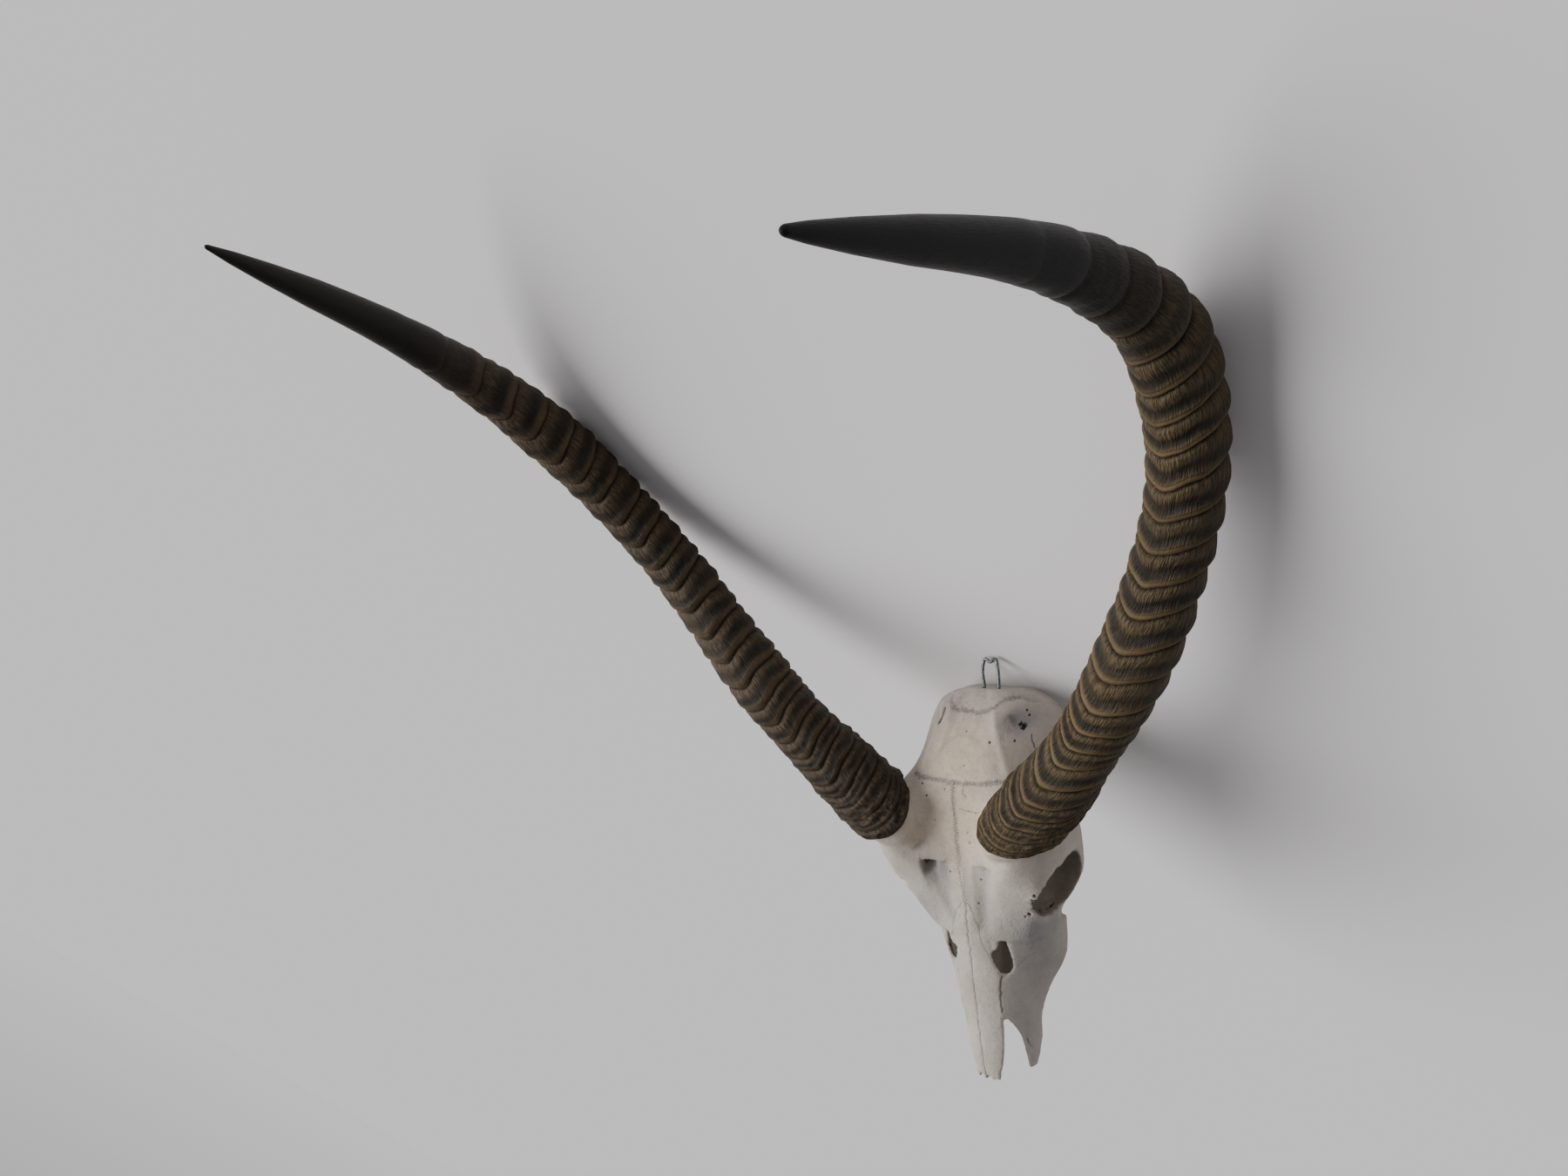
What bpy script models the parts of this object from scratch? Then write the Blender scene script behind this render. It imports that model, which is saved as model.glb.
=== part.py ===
"""Antelope skull cap with a pair of ringed horns and a wire hanging loop.

The tables are in millimetres in the skull's own frame: X to the side, Y from the nose to the back
of the head, Z out of the sawn face. Parent empties lean the skull back onto its rear edge and both
horn bends, the way the trophy lies when it is put down, with the forehead towards -Y.
"""
import math

import bmesh
import bpy
import numpy as np
from mathutils import Matrix, Vector

MM = 0.001
WELD = 1e-6              # points this close, in metres, are one point

# ---- how the trophy lies -------------------------------------------------------------------------
LEAN_DEG = 48.74         # tilt of the sawn face against the ground
ROLL_DEG = 0.04          # levels the two horn bends
LIFT = 46.63             # height of the skull frame's origin above the ground
CENTRE_X = 0.33          # puts the middle of the footprint on the origin
CENTRE_Y = 220.64

# ---- horns ---------------------------------------------------------------------------------------
RIGHT_PATH = [(57, -19, 80), (92, 18, 95), (126, 57, 111), (156, 100, 130), (182, 142, 154),
              (204, 186, 182), (217, 226, 219), (223, 253, 266), (221, 263, 321), (215, 263, 381),
              (207, 256, 440), (200, 247, 501)]
LEFT_PATH = [(-59, -21, 79), (-95, 15, 94), (-128, 56, 113), (-158, 100, 130), (-183, 145, 150),
             (-203, 187, 180), (-217, 228, 221), (-223, 260, 268), (-222, 283, 320),
             (-216, 299, 374), (-207, 310, 430), (-196, 320, 492)]
# crest radius against the distance: each horn's own swelling near its base, then the taper of both
RIGHT_BASE = [(0, 26.2), (22, 26.6), (45, 24.9), (65, 22.2), (90, 21.5), (120, 22.5), (150, 23.6),
              (180, 23.2)]
LEFT_BASE = [(0, 26.8), (22, 27.0), (45, 25.6), (70, 23.6), (90, 23.4), (125, 24.7), (150, 23.7),
             (180, 22.2)]
HORN_TAPER = [(210, 21.6), (240, 21.0), (300, 20.8), (350, 21.4), (375, 20.8), (400, 18.9),
              (440, 16.4), (480, 13.5), (520, 10.8), (560, 8.6), (590, 6.0), (612, 3.6), (625, 1.6),
              (640, 0.7)]
# places of the grooves between the uneven lower rings; past them, the distance from ring to ring
RIGHT_GROOVES = [0.0, 8.2, 17.5, 26.8, 36.6, 48.0, 62.9, 82.5, 97.3, 111.8, 130.9, 154.2, 178.0, 203.8]
LEFT_GROOVES = [0.0, 9.0, 18.0, 29.0, 37.5, 48.5, 61.5, 72.0, 87.0, 103.0, 117.0, 136.5, 159.0, 181.5,
                203.8]
RING_PITCH = [(200.0, 22.0), (320.0, 22.3), (410.0, 28.0), (500.0, 31.0)]
# depth of the grooves against the distance
RING_DEPTH = [(0.0, 1.6), (40.0, 2.4), (110.0, 3.0), (160.0, 3.8), (300.0, 4.0), (380.0, 3.2),
              (440.0, 1.6), (500.0, 0.3)]
RINGED_END = 480.0
RING_PROFILE = [(0.0, 0.0), (0.30, 0.88), (0.64, 1.0)]   # share of the pitch, share of the depth
# slope of the ring planes: the side facing TILT_SIDE stands nearer the tip
RING_SLOPE = [(0.0, 0.84), (50.0, 0.60), (110.0, 0.42), (350.0, 0.37), (500.0, 0.18), (560.0, 0.0)]
TILT_SIDE = (0.55, 0.0, -0.83)
HORN_SIDES = 16
TIP_STATIONS = 7
SEAT_GAP = 0.4           # between the horn and its seat on the skull
SEAT_START = -0.56       # the seat begins this far behind the horn's base
SEAT_LENGTH = 75.0       # stretch of horn that the skull is relieved for
SEAT_STEPS = 8
PEDICLE_RINGS = [(-30.0, 11.0), (-12.0, 20.0), (0.0, 24.0), (10.0, 24.0)]   # distance, radius

# ---- head: half sections (x, z) from the ridge of the roof to the sawn face, nose to back ---------
HEAD_SECTIONS = [
    (-112, [(0, 55), (8, 54.6), (16, 52.5), (25, 48.5), (33, 44), (39, 38), (43, 28), (44, 14), (43, 0)]),
    (-95, [(0, 60), (8, 59.6), (17, 58), (27, 56), (37, 54), (46, 50), (50, 37), (48, 15), (45, 0)]),
    (-80, [(0, 63), (8, 63), (17, 63), (28, 63.5), (40, 63), (50, 60), (57, 54), (59, 18), (53, 0)]),
    (-65, [(0, 65), (8, 65.5), (17, 68), (29, 72), (42, 74), (55, 71), (62, 62), (65, 20), (61, 0)]),
    (-50, [(0, 67), (8, 68), (17, 71), (30, 77), (46, 86), (60, 79), (68, 63), (67, 22), (61, 0)]),
    (-35, [(0, 69), (9, 69.5), (18, 71), (30, 78), (45, 90), (60, 85), (70, 61), (66, 24), (59, 0)]),
    (-20, [(0, 70.5), (9, 70.3), (20, 71), (31, 76), (43, 85), (59, 79), (65, 56), (63, 24), (55, 0)]),
    (-5, [(0, 71), (10, 70.5), (20, 69.5), (31, 68.5), (41, 68), (51, 62), (57, 45), (57, 22), (53, 0)]),
    (10, [(0, 69), (10, 68.5), (20, 67), (30, 64), (38, 59), (45, 49), (51, 35), (53, 18), (51, 0)]),
    (25, [(0, 61.5), (10, 61), (19, 60.5), (27, 57.5), (34, 52), (42, 42), (49, 30), (52, 15), (51, 0)]),
    (42, [(0, 51), (9, 51), (16, 52), (21, 52), (29, 47), (38, 36), (46, 25), (49, 12), (49, 0)]),
    (54, [(0, 42), (8, 42), (15, 43), (21, 42), (28, 38), (35, 31), (39, 21), (41, 10), (40, 0)]),
    (62, [(0, 33), (5, 33), (9, 33), (13, 31), (17, 26), (20, 20), (22, 14), (23, 7), (23, 0)]),
]
HEAD_STEPS = 2           # loft rows between two sections

# ---- nose ----------------------------------------------------------------------------------------
# nasal roof: y, half width, z on the ridge, z at the margin
NASAL_ROOF = [(-92, 19, 60.5, 57), (-120, 17.5, 53, 48.5), (-150, 16.5, 46.5, 42.5),
              (-178, 16, 40.5, 36.5), (-200, 14, 36, 33), (-214, 11, 33, 31), (-221, 9, 31.5, 30)]
NASAL_THICK = 3.6
# cheek plate: y, (x, z) of the upper edge, (x, z) of the lower edge, bulge outwards
CHEEK = [(-100, (18, 55), (49, 1), 8.0), (-112, (17, 52), (49, 0), 8.0),
         (-127, (17, 48), (48, 0), 6.0), (-150, (16.5, 42), (37, 0), 5.0),
         (-168, (16.5, 38), (30, 0), 4.0), (-180, (21, 27), (28, 0), 3.0),
         (-200, (24, 17), (27, 0), 2.0), (-214, (23.5, 10), (24, 1), 0.5)]
CHEEK_THICK = 3.2
# bony wall in the middle of the nose: (y, z) outline, and the (x, z) outline of its spreading foot
SEPTUM = [(-84, 0), (-84, 60), (-120, 51), (-146, 45), (-157, 34), (-155, 0)]
SEPTUM_THICK = 3.0
SEPTUM_FOOT = [(-7, 0), (7, 0), (7, 5), (1.1, 13), (-1.1, 13), (-7, 5)]
FOOT_REACH = (-84, -153)

# ---- hollows: centre and radii, in pairs where x is not zero ---------------------------------------
HOLLOWS = {
    "brain": ((0, 12, -4), (34, 34, 50)),
    "snout": ((0, -114, -2), (30, 26, 46)),
    "orbit": ((60, -69, 35), (33, 24, 27)),
    "brow_pit": ((21, -61, 71), (6.5, 9.5, 6)),
    "crown_pit": ((31, 43, 47), (3.5, 6, 5)),
    "cheek_gap": ((19, -124, 42), (7.5, 17, 14)),
}

# ---- hanging wire ----------------------------------------------------------------------------------
WIRE_RADIUS = 1.3
WIRE_PATH = [(-1.5, 52, 28), (-1.5, 66, 28.5), (-2, 78, 29), (1, 83.5, 29.5), (4.5, 81.5, 30),
             (8, 83.5, 29.5), (10, 78, 29), (10.5, 66, 28.5), (10.5, 52, 28)]
WIRE_SIDES = 6
WIRE_STEPS = 20
WIRE_CLEAR = 0.35

# ---- colours ---------------------------------------------------------------------------------------
BONE = (0.72, 0.66, 0.56, 1.0)
HORN = (0.075, 0.052, 0.028, 1.0)
STEEL = (0.24, 0.26, 0.27, 1.0)


def clear_scene():
    for old in list(bpy.data.objects):
        bpy.data.objects.remove(old, do_unlink=True)


def material(name, colour, roughness, metallic=0.0):
    made = bpy.data.materials.new(name)
    made.use_nodes = True
    shader = made.node_tree.nodes["Principled BSDF"]
    shader.inputs["Base Color"].default_value = colour
    shader.inputs["Roughness"].default_value = roughness
    shader.inputs["Metallic"].default_value = metallic
    return made


def at(table, where):
    """A value read off a table of (place, value) rows."""
    return float(np.interp(where, [row[0] for row in table], [row[1] for row in table]))


class Curve:
    """Smooth curve through points, asked by the distance along it."""

    def __init__(self, points, fine=600):
        p = np.array(points, float)
        t = np.concatenate([[0.0], np.cumsum(np.linalg.norm(np.diff(p, axis=0), axis=1))])
        n, h = len(p), np.diff(t)
        left, right = np.eye(n), np.zeros_like(p)
        for k in range(1, n - 1):
            left[k, k - 1:k + 2] = (h[k - 1], 2 * (h[k - 1] + h[k]), h[k])
            right[k] = 6 * ((p[k + 1] - p[k]) / h[k] - (p[k] - p[k - 1]) / h[k - 1])
        bend = np.linalg.solve(left, right)
        u = np.linspace(0, t[-1], fine)
        k = np.clip(np.searchsorted(t, u, side="right") - 1, 0, n - 2)
        a, b, hk = (t[k + 1] - u)[:, None], (u - t[k])[:, None], h[k][:, None]
        self.xyz = ((bend[k] * a ** 3 + bend[k + 1] * b ** 3) / (6 * hk)
                    + (p[k] / hk - bend[k] * hk / 6) * a + (p[k + 1] / hk - bend[k + 1] * hk / 6) * b)
        step = np.linalg.norm(np.diff(self.xyz, axis=0), axis=1)
        self.s = np.concatenate([[0.0], np.cumsum(step)])
        self.length = float(self.s[-1])

    def point(self, s):
        """Past either end the curve runs straight on."""
        inside = min(max(s, 0.0), self.length)
        p = Vector([float(np.interp(inside, self.s, self.xyz[:, axis])) for axis in range(3)])
        return p + self.tangent(inside) * (s - inside) if s != inside else p

    def tangent(self, s):
        s = min(max(s, 1.0), self.length - 1.0)
        low, high = max(s - 2.0, 0.0), min(s + 2.0, self.length)
        ends = [Vector([float(np.interp(x, self.s, self.xyz[:, axis])) for axis in range(3)])
                for x in (low, high)]
        return (ends[1] - ends[0]).normalized()


def mesh_object(name, verts, faces, mat=None):
    """A closed mesh from millimetre points, with its faces turned outwards."""
    bm = bmesh.new()
    made = [bm.verts.new(Vector(v) * MM) for v in verts]
    for face in faces:
        bm.faces.new([made[i] for i in face])
    bmesh.ops.recalc_face_normals(bm, faces=bm.faces)
    if bm.calc_volume(signed=True) < 0:
        bmesh.ops.reverse_faces(bm, faces=bm.faces)
    mesh = bpy.data.meshes.new(name)
    bm.to_mesh(mesh)
    bm.free()
    made = bpy.data.objects.new(name, mesh)
    bpy.context.scene.collection.objects.link(made)
    if mat:
        mesh.materials.append(mat)
    return made


def rings_to_mesh(rings):
    """Points and faces of a tube through equal rings, closed by a fan at each end."""
    count = len(rings[0])
    verts = [v for ring in rings for v in ring]
    faces = []
    for row in range(len(rings) - 1):
        for k in range(count):
            a, b = row * count + k, row * count + (k + 1) % count
            faces.append((a, b, b + count, a + count))
    for row in (0, len(rings) - 1):
        middle = sum((Vector(v) for v in rings[row]), Vector()) / count
        verts.append(middle)
        for k in range(count):
            faces.append((row * count + k, row * count + (k + 1) % count, len(verts) - 1))
    return verts, faces


def horn_ring(curve, side, s, radius, sides=HORN_SIDES):
    """One ring of the horn: its plane slopes by RING_SLOPE towards TILT_SIDE."""
    centre, along = curve.point(s), curve.tangent(s)
    toward = Vector((TILT_SIDE[0] * side, TILT_SIDE[1], TILT_SIDE[2]))
    e1 = (toward - along * toward.dot(along)).normalized()
    e2 = along.cross(e1)
    lean = at(RING_SLOPE, max(s, 0.0)) * radius
    ring = []
    for k in range(sides):
        turn = 2 * math.pi * k / sides
        out = e1 * math.cos(turn) + e2 * math.sin(turn)
        ring.append(centre + out * radius + along * (lean * math.cos(turn)))
    return ring


def crest_radius(side, s):
    """Radius over the ring crests, s along the horn of one side."""
    return at((RIGHT_BASE if side > 0 else LEFT_BASE) + HORN_TAPER, s)


def grooves(side):
    """Places of all the grooves, from the base to the end of the ringed stretch."""
    places = list(RIGHT_GROOVES if side > 0 else LEFT_GROOVES)
    while places[-1] < RINGED_END:
        places.append(places[-1] + at(RING_PITCH, places[-1]))
    return places


def horn_stations(side, length):
    """Distance and radius of every ring of points, base to tip."""
    stations, places = [], grooves(side)
    for s, after in zip(places, places[1:]):
        for share, height in RING_PROFILE:
            here = s + share * (after - s)
            stations.append((here, crest_radius(side, here) - at(RING_DEPTH, here) * (1 - height)))
    s = places[-1]
    for k in range(TIP_STATIONS + 1):
        here = s + (length - s) * (1 - (1 - k / TIP_STATIONS) ** 1.25)
        stations.append((here, crest_radius(side, here)))
    return stations


def build_horn(name, path, side, mat):
    curve = Curve(path)
    rings = [horn_ring(curve, side, s, r) for s, r in horn_stations(side, curve.length)]
    return mesh_object(name, *rings_to_mesh(rings), mat)


def horn_relief(path, side):
    """Room on the skull for the horn: its smooth envelope and the gap round it."""
    curve = Curve(path)
    rings = []
    for k in range(SEAT_STEPS + 1):
        s = SEAT_START + SEAT_LENGTH * k / SEAT_STEPS
        radius = crest_radius(side, max(s, 0.0)) + SEAT_GAP
        rings.append(horn_ring(curve, side, s, radius / math.cos(math.pi / HORN_SIDES)))
    return mesh_object("relief", *rings_to_mesh(rings))


def pedicle(path, side):
    """Bony stub under the horn, spreading into the forehead."""
    curve = Curve(path)
    rings = [horn_ring(curve, side, s, r) for s, r in PEDICLE_RINGS]
    return mesh_object("pedicle", *rings_to_mesh(rings))


def head_loft():
    ys = [y for y, _ in HEAD_SECTIONS]
    grid = np.array([[(x, z) for x, z in half] for _, half in HEAD_SECTIONS], float)
    tracks = [Curve([(x, y, z) for y, (x, z) in zip(ys, grid[:, k])]) for k in range(grid.shape[1])]
    rows = (len(ys) - 1) * HEAD_STEPS
    rings = []
    for row in range(rows + 1):
        y = float(np.interp(row / HEAD_STEPS, range(len(ys)), ys))
        half = []
        for track in tracks:
            x, z = (float(np.interp(y, track.xyz[:, 1], track.xyz[:, axis])) for axis in (0, 2))
            half.append((x, z))
        half[0], half[-1] = (0.0, half[0][1]), (half[-1][0], 0.0)
        ring = [(x, y, z) for x, z in half] + [(0.0, y, 0.0)]
        ring += [(-x, y, z) for x, z in reversed(half[1:])]
        rings.append(ring)
    return mesh_object("head", *rings_to_mesh(rings))


def slab(name, rows, thick):
    """A thin plate: rows of surface points, doubled below along the surface's own normal."""
    grid = np.array(rows, float)
    across, along = np.gradient(grid, axis=1), np.gradient(grid, axis=0)
    normal = np.cross(across, along)
    normal /= np.linalg.norm(normal, axis=2, keepdims=True)
    inner = grid - normal * thick * np.sign(normal[:, :, 2:3].sum())
    n, m = grid.shape[:2]
    verts = [tuple(v) for v in grid.reshape(-1, 3)] + [tuple(v) for v in inner.reshape(-1, 3)]
    faces = []
    for i in range(n - 1):
        for j in range(m - 1):
            a = i * m + j
            faces.append((a, a + 1, a + m + 1, a + m))
            faces.append(tuple(q + n * m for q in (a, a + m, a + m + 1, a + 1)))
    rim = [j for j in range(m)] + [i * m + m - 1 for i in range(1, n)]
    rim += [(n - 1) * m + j for j in range(m - 2, -1, -1)] + [i * m for i in range(n - 2, 0, -1)]
    for k, a in enumerate(rim):
        b = rim[(k + 1) % len(rim)]
        faces.append((a, b, b + n * m, a + n * m))
    return mesh_object(name, verts, faces)


def nasal_roof():
    rows = []
    for y, half, ridge, margin in NASAL_ROOF:
        rows.append([(half * u, y, ridge - (ridge - margin) * abs(u) ** 2.0)
                     for u in (-1, -0.78, -0.45, 0, 0.45, 0.78, 1)])
    return slab("nasals", rows, NASAL_THICK)


def cheek(side):
    rows = []
    for y, top, foot, bulge in CHEEK:
        line = Vector((foot[0] - top[0], 0, foot[1] - top[1]))
        out = Vector((-line.z, 0, line.x)).normalized()
        row = []
        for u in (0, 0.25, 0.5, 0.75, 1):
            p = Vector((top[0], y, top[1])) + line * u + out * (bulge * 4 * u * (1 - u))
            row.append((p.x * side, p.y, p.z))
        rows.append(row)
    return slab("cheek", rows, CHEEK_THICK)


def block(name, near, far):
    """A straight block between two equal outlines."""
    n = len(near)
    faces = [tuple(range(n)), tuple(range(2 * n - 1, n - 1, -1))]
    faces += [(k, (k + 1) % n, (k + 1) % n + n, k + n) for k in range(n)]
    return mesh_object(name, near + far, faces)


def septum():
    """Upright wall between the two halves of the nose, on its spreading foot."""
    half = SEPTUM_THICK / 2
    wall = block("septum", [(-half, y, z) for y, z in SEPTUM], [(half, y, z) for y, z in SEPTUM])
    foot = block("foot", *([(x, y, z) for x, z in SEPTUM_FOOT] for y in FOOT_REACH))
    combine(wall, [foot], "UNION")
    return wall


def ball(centre, radii):
    bm = bmesh.new()
    bmesh.ops.create_uvsphere(bm, u_segments=14, v_segments=8, radius=1.0)
    shape = Matrix.Translation(Vector(centre) * MM) @ Matrix.Diagonal((*(Vector(radii) * MM), 1.0))
    bmesh.ops.transform(bm, matrix=shape, verts=bm.verts)
    mesh = bpy.data.meshes.new("ball")
    bm.to_mesh(mesh)
    bm.free()
    made = bpy.data.objects.new("ball", mesh)
    bpy.context.scene.collection.objects.link(made)
    return made


def wire_rings(path, radius, steps):
    curve = Curve(path)
    rings = []
    for k in range(steps + 1):
        s = curve.length * k / steps
        centre, along = curve.point(s), curve.tangent(s)
        e1 = along.cross(Vector((0, 0, 1))).normalized()
        e2 = along.cross(e1)
        rings.append([centre + (e1 * math.cos(2 * math.pi * j / WIRE_SIDES)
                                + e2 * math.sin(2 * math.pi * j / WIRE_SIDES)) * radius
                      for j in range(WIRE_SIDES)])
    return rings


def wire_holes():
    """Sockets in the skull's rear edge for the two ends of the wire."""
    made = []
    for leg in (WIRE_PATH[:2], WIRE_PATH[-1:-3:-1]):
        inner, outer = Vector(leg[0]), Vector(leg[1])
        along = (outer - inner).normalized()
        ends = [inner - along * 1.0, outer + along * 6.0]
        made.append(mesh_object("socket", *rings_to_mesh(
            wire_rings(ends, (WIRE_RADIUS + WIRE_CLEAR) / math.cos(math.pi / WIRE_SIDES), 1))))
    return made


def clean(mesh):
    """Weld the points that a cut leaves within a micrometre of each other."""
    bm = bmesh.new()
    bm.from_mesh(mesh)
    bmesh.ops.remove_doubles(bm, verts=bm.verts, dist=WELD)
    bmesh.ops.dissolve_degenerate(bm, edges=bm.edges, dist=WELD)
    bm.to_mesh(mesh)
    bm.free()


def combine(body, others, operation):
    """Boolean each of the others into the body, and clear them away."""
    for other in others:
        step = body.modifiers.new(operation.lower(), "BOOLEAN")
        step.operation, step.solver, step.object = operation, "EXACT", other
        bpy.context.view_layer.update()
        solid = body.evaluated_get(bpy.context.evaluated_depsgraph_get())
        mesh = bpy.data.meshes.new_from_object(solid)
        body.modifiers.clear()
        clean(mesh)
        old = body.data
        body.data = mesh
        bpy.data.meshes.remove(old)
        bpy.data.objects.remove(other, do_unlink=True)


def hollow(name, side=1):
    centre, radii = HOLLOWS[name]
    return ball((centre[0] * side, centre[1], centre[2]), radii)


def build_skull(mat):
    skull = head_loft()
    combine(skull, [pedicle(RIGHT_PATH, 1), pedicle(LEFT_PATH, -1)], "UNION")
    combine(skull, [hollow("brain"), hollow("snout")], "DIFFERENCE")
    for side in (1, -1):
        combine(skull, [hollow(name, side) for name in
                        ("orbit", "brow_pit", "crown_pit")], "DIFFERENCE")
    muzzle = nasal_roof()
    combine(muzzle, [cheek(1), cheek(-1)], "UNION")
    combine(muzzle, [hollow("cheek_gap", 1), hollow("cheek_gap", -1)], "DIFFERENCE")
    combine(muzzle, [septum()], "UNION")
    combine(skull, [muzzle], "UNION")
    combine(skull, [horn_relief(RIGHT_PATH, 1), horn_relief(LEFT_PATH, -1)], "DIFFERENCE")
    combine(skull, wire_holes(), "DIFFERENCE")
    skull.name = skull.data.name = "skull"
    skull.data.materials.clear()
    skull.data.materials.append(mat)
    return skull


def main():
    clear_scene()
    stand = bpy.data.objects.new("stand", None)
    bpy.context.scene.collection.objects.link(stand)
    lie = Matrix.Rotation(math.pi, 4, "Z") @ Matrix.Rotation(math.radians(ROLL_DEG), 4, "Y")
    lie = lie @ Matrix.Rotation(math.radians(-LEAN_DEG), 4, "X")
    stand.matrix_world = Matrix.Translation(Vector((CENTRE_X, CENTRE_Y, LIFT)) * MM) @ lie
    horn_mat = material("horn", HORN, 0.5)
    pieces = [
        build_skull(material("bone", BONE, 0.7)),
        build_horn("right_horn", RIGHT_PATH, 1, horn_mat),
        build_horn("left_horn", LEFT_PATH, -1, material("horn_left", HORN, 0.5)),
        mesh_object("hanging_wire", *rings_to_mesh(wire_rings(WIRE_PATH, WIRE_RADIUS, WIRE_STEPS)),
                    material("steel_wire", STEEL, 0.45, 0.9)),
    ]
    for piece in pieces:
        piece.parent = stand
    bpy.context.view_layer.update()


main()
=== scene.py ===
"""Looks of the antelope trophy: dense horns, skull and wire, their finishes, the light and the camera.

The tables are in millimetres in the skull's own frame: X to the side, Y from the nose to the back of
the head, Z out of the sawn face. STAND carries that frame to the way the trophy lies on the ground.
"""

import math

import bmesh
import bpy
import numpy as np
from mathutils import Matrix, Vector


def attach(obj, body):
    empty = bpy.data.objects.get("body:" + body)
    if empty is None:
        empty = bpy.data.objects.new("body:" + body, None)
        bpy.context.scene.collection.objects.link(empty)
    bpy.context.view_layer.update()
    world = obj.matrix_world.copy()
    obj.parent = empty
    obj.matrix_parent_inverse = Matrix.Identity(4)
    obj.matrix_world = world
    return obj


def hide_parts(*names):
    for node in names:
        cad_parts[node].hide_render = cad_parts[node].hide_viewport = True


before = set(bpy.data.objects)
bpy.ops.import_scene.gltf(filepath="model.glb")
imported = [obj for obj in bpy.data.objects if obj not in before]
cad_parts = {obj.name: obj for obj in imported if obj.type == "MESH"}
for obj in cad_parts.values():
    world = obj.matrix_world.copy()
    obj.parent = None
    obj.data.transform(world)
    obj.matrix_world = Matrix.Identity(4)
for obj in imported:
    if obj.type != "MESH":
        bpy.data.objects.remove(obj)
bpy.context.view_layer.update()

MM = 0.001
HASH = (374761393, 668265263, 1442695041, 1274126177)  # odd factors that scramble the noise
STAND = (Matrix.Translation((0.00033, 0.22064, 0.04663)) @ Matrix.Rotation(math.pi, 4, "Z")
         @ Matrix.Rotation(math.radians(0.04), 4, "Y") @ Matrix.Rotation(math.radians(-48.74), 4, "X"))

# ---- horns: their paths, and their radius at the crests against the distance along them ----
RIGHT_PATH = [(57, -19, 80), (92, 18, 95), (126, 57, 111), (156, 100, 130), (182, 142, 154),
              (204, 186, 182), (217, 226, 219), (223, 253, 266), (221, 263, 321), (215, 263, 381),
              (207, 256, 440), (200, 247, 501)]
LEFT_PATH = [(-59, -21, 79), (-95, 15, 94), (-128, 56, 113), (-158, 100, 130), (-183, 145, 150),
             (-203, 187, 180), (-217, 228, 221), (-223, 260, 268), (-222, 283, 320), (-216, 299, 374),
             (-207, 310, 430), (-196, 320, 492)]
RIGHT_BASE = [(0, 26.2), (22, 26.6), (45, 24.9), (65, 22.2), (90, 21.5), (120, 22.5), (150, 23.6),
              (180, 23.2)]
LEFT_BASE = [(0, 26.8), (22, 27), (45, 25.6), (70, 23.6), (90, 23.4), (125, 24.7), (150, 23.7),
             (180, 22.2)]
HORN_TAPER = [(210, 21.6), (240, 21), (300, 20.8), (350, 21.4), (375, 20.8), (400, 18.9), (440, 16.4),
              (480, 13.5), (520, 10.8), (560, 8.6), (590, 6), (612, 3.6), (625, 1.6), (640, 0.7)]
# places of the creases between the uneven lower rings; past them, the distance from ring to ring
RIGHT_GROOVES = [0, 8.2, 17.5, 26.8, 36.6, 48, 62.9, 82.5, 97.3, 111.8, 130.9, 154.2, 178, 203.8]
LEFT_GROOVES = [0, 9, 18, 29, 37.5, 48.5, 61.5, 72, 87, 103, 117, 136.5, 159, 181.5, 203.8]
RING_PITCH = [(200, 22), (320, 22.3), (410, 28), (500, 31)]
# against the distance along the horn: how deep the creases are, and how much the rings lean
RING_DEPTH = [(0, 2.1), (40, 2.6), (110, 3), (160, 3.8), (300, 4), (380, 3.2), (440, 1.6), (500, 0.3),
              (520, 0)]
RING_SLOPE = [(0, 0.84), (50, 0.6), (110, 0.42), (350, 0.37), (500, 0.18), (560, 0)]
TILT_SIDE = (0.55, 0, -0.83)  # on this side of the horn the rings reach furthest to the tip
# one ring from its crease towards the tip: at the front a smooth lip, a dip, then the swelling
# striated band; at the sides a single step, and two knobs on the left horn's inner side
RING_FRONT = [(0, 0.22), (0.03, 0.46), (0.07, 0.76), (0.12, 0.95), (0.17, 1), (0.22, 0.95), (0.28, 0.76),
              (0.35, 0.54), (0.43, 0.44), (0.52, 0.5), (0.65, 0.7), (0.8, 0.88), (0.9, 0.88), (0.97, 0.62),
              (1, 0.22)]
RING_SIDE = [(0, 0), (0.05, 0.3), (0.12, 0.62), (0.2, 0.85), (0.3, 1), (0.45, 0.98), (0.6, 0.86),
             (0.75, 0.66), (0.88, 0.38), (0.96, 0.12), (1, 0)]
RING_KNOB = [(0, 0), (0.06, 0.45), (0.14, 0.85), (0.24, 1), (0.36, 0.8), (0.48, 0.45), (0.58, 0.55),
             (0.7, 0.85), (0.8, 0.75), (0.92, 0.25), (1, 0)]
RING_POINT = 205  # degrees round the horn, where the rings' V has its point
RINGS_FADE, LAST_RING = (425, 500), 540  # the rings die away over this stretch, and end here
RINGED_END, POINT = 500, 6  # mm: where the fine rows end, and how long the point is
RIM_ROWS = [0, 0.25, 0.7, 1.3, 2]  # close rows for the rounded rim
HORN_STEP, HORN_SIDES = 0.95, 150  # mm between the fine rows, and points in each
# what differs between the horns: seed of the noise, how far the rings stray, lumps along the rings and
# at the foot, share of the front profile, share of the knobs
RIGHT_WAYS = (3, 1.7, 0.3, 1.3, 1, 0)
LEFT_WAYS = (11, 2.6, 0.6, 1.7, 0.5, 0.9)
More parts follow.
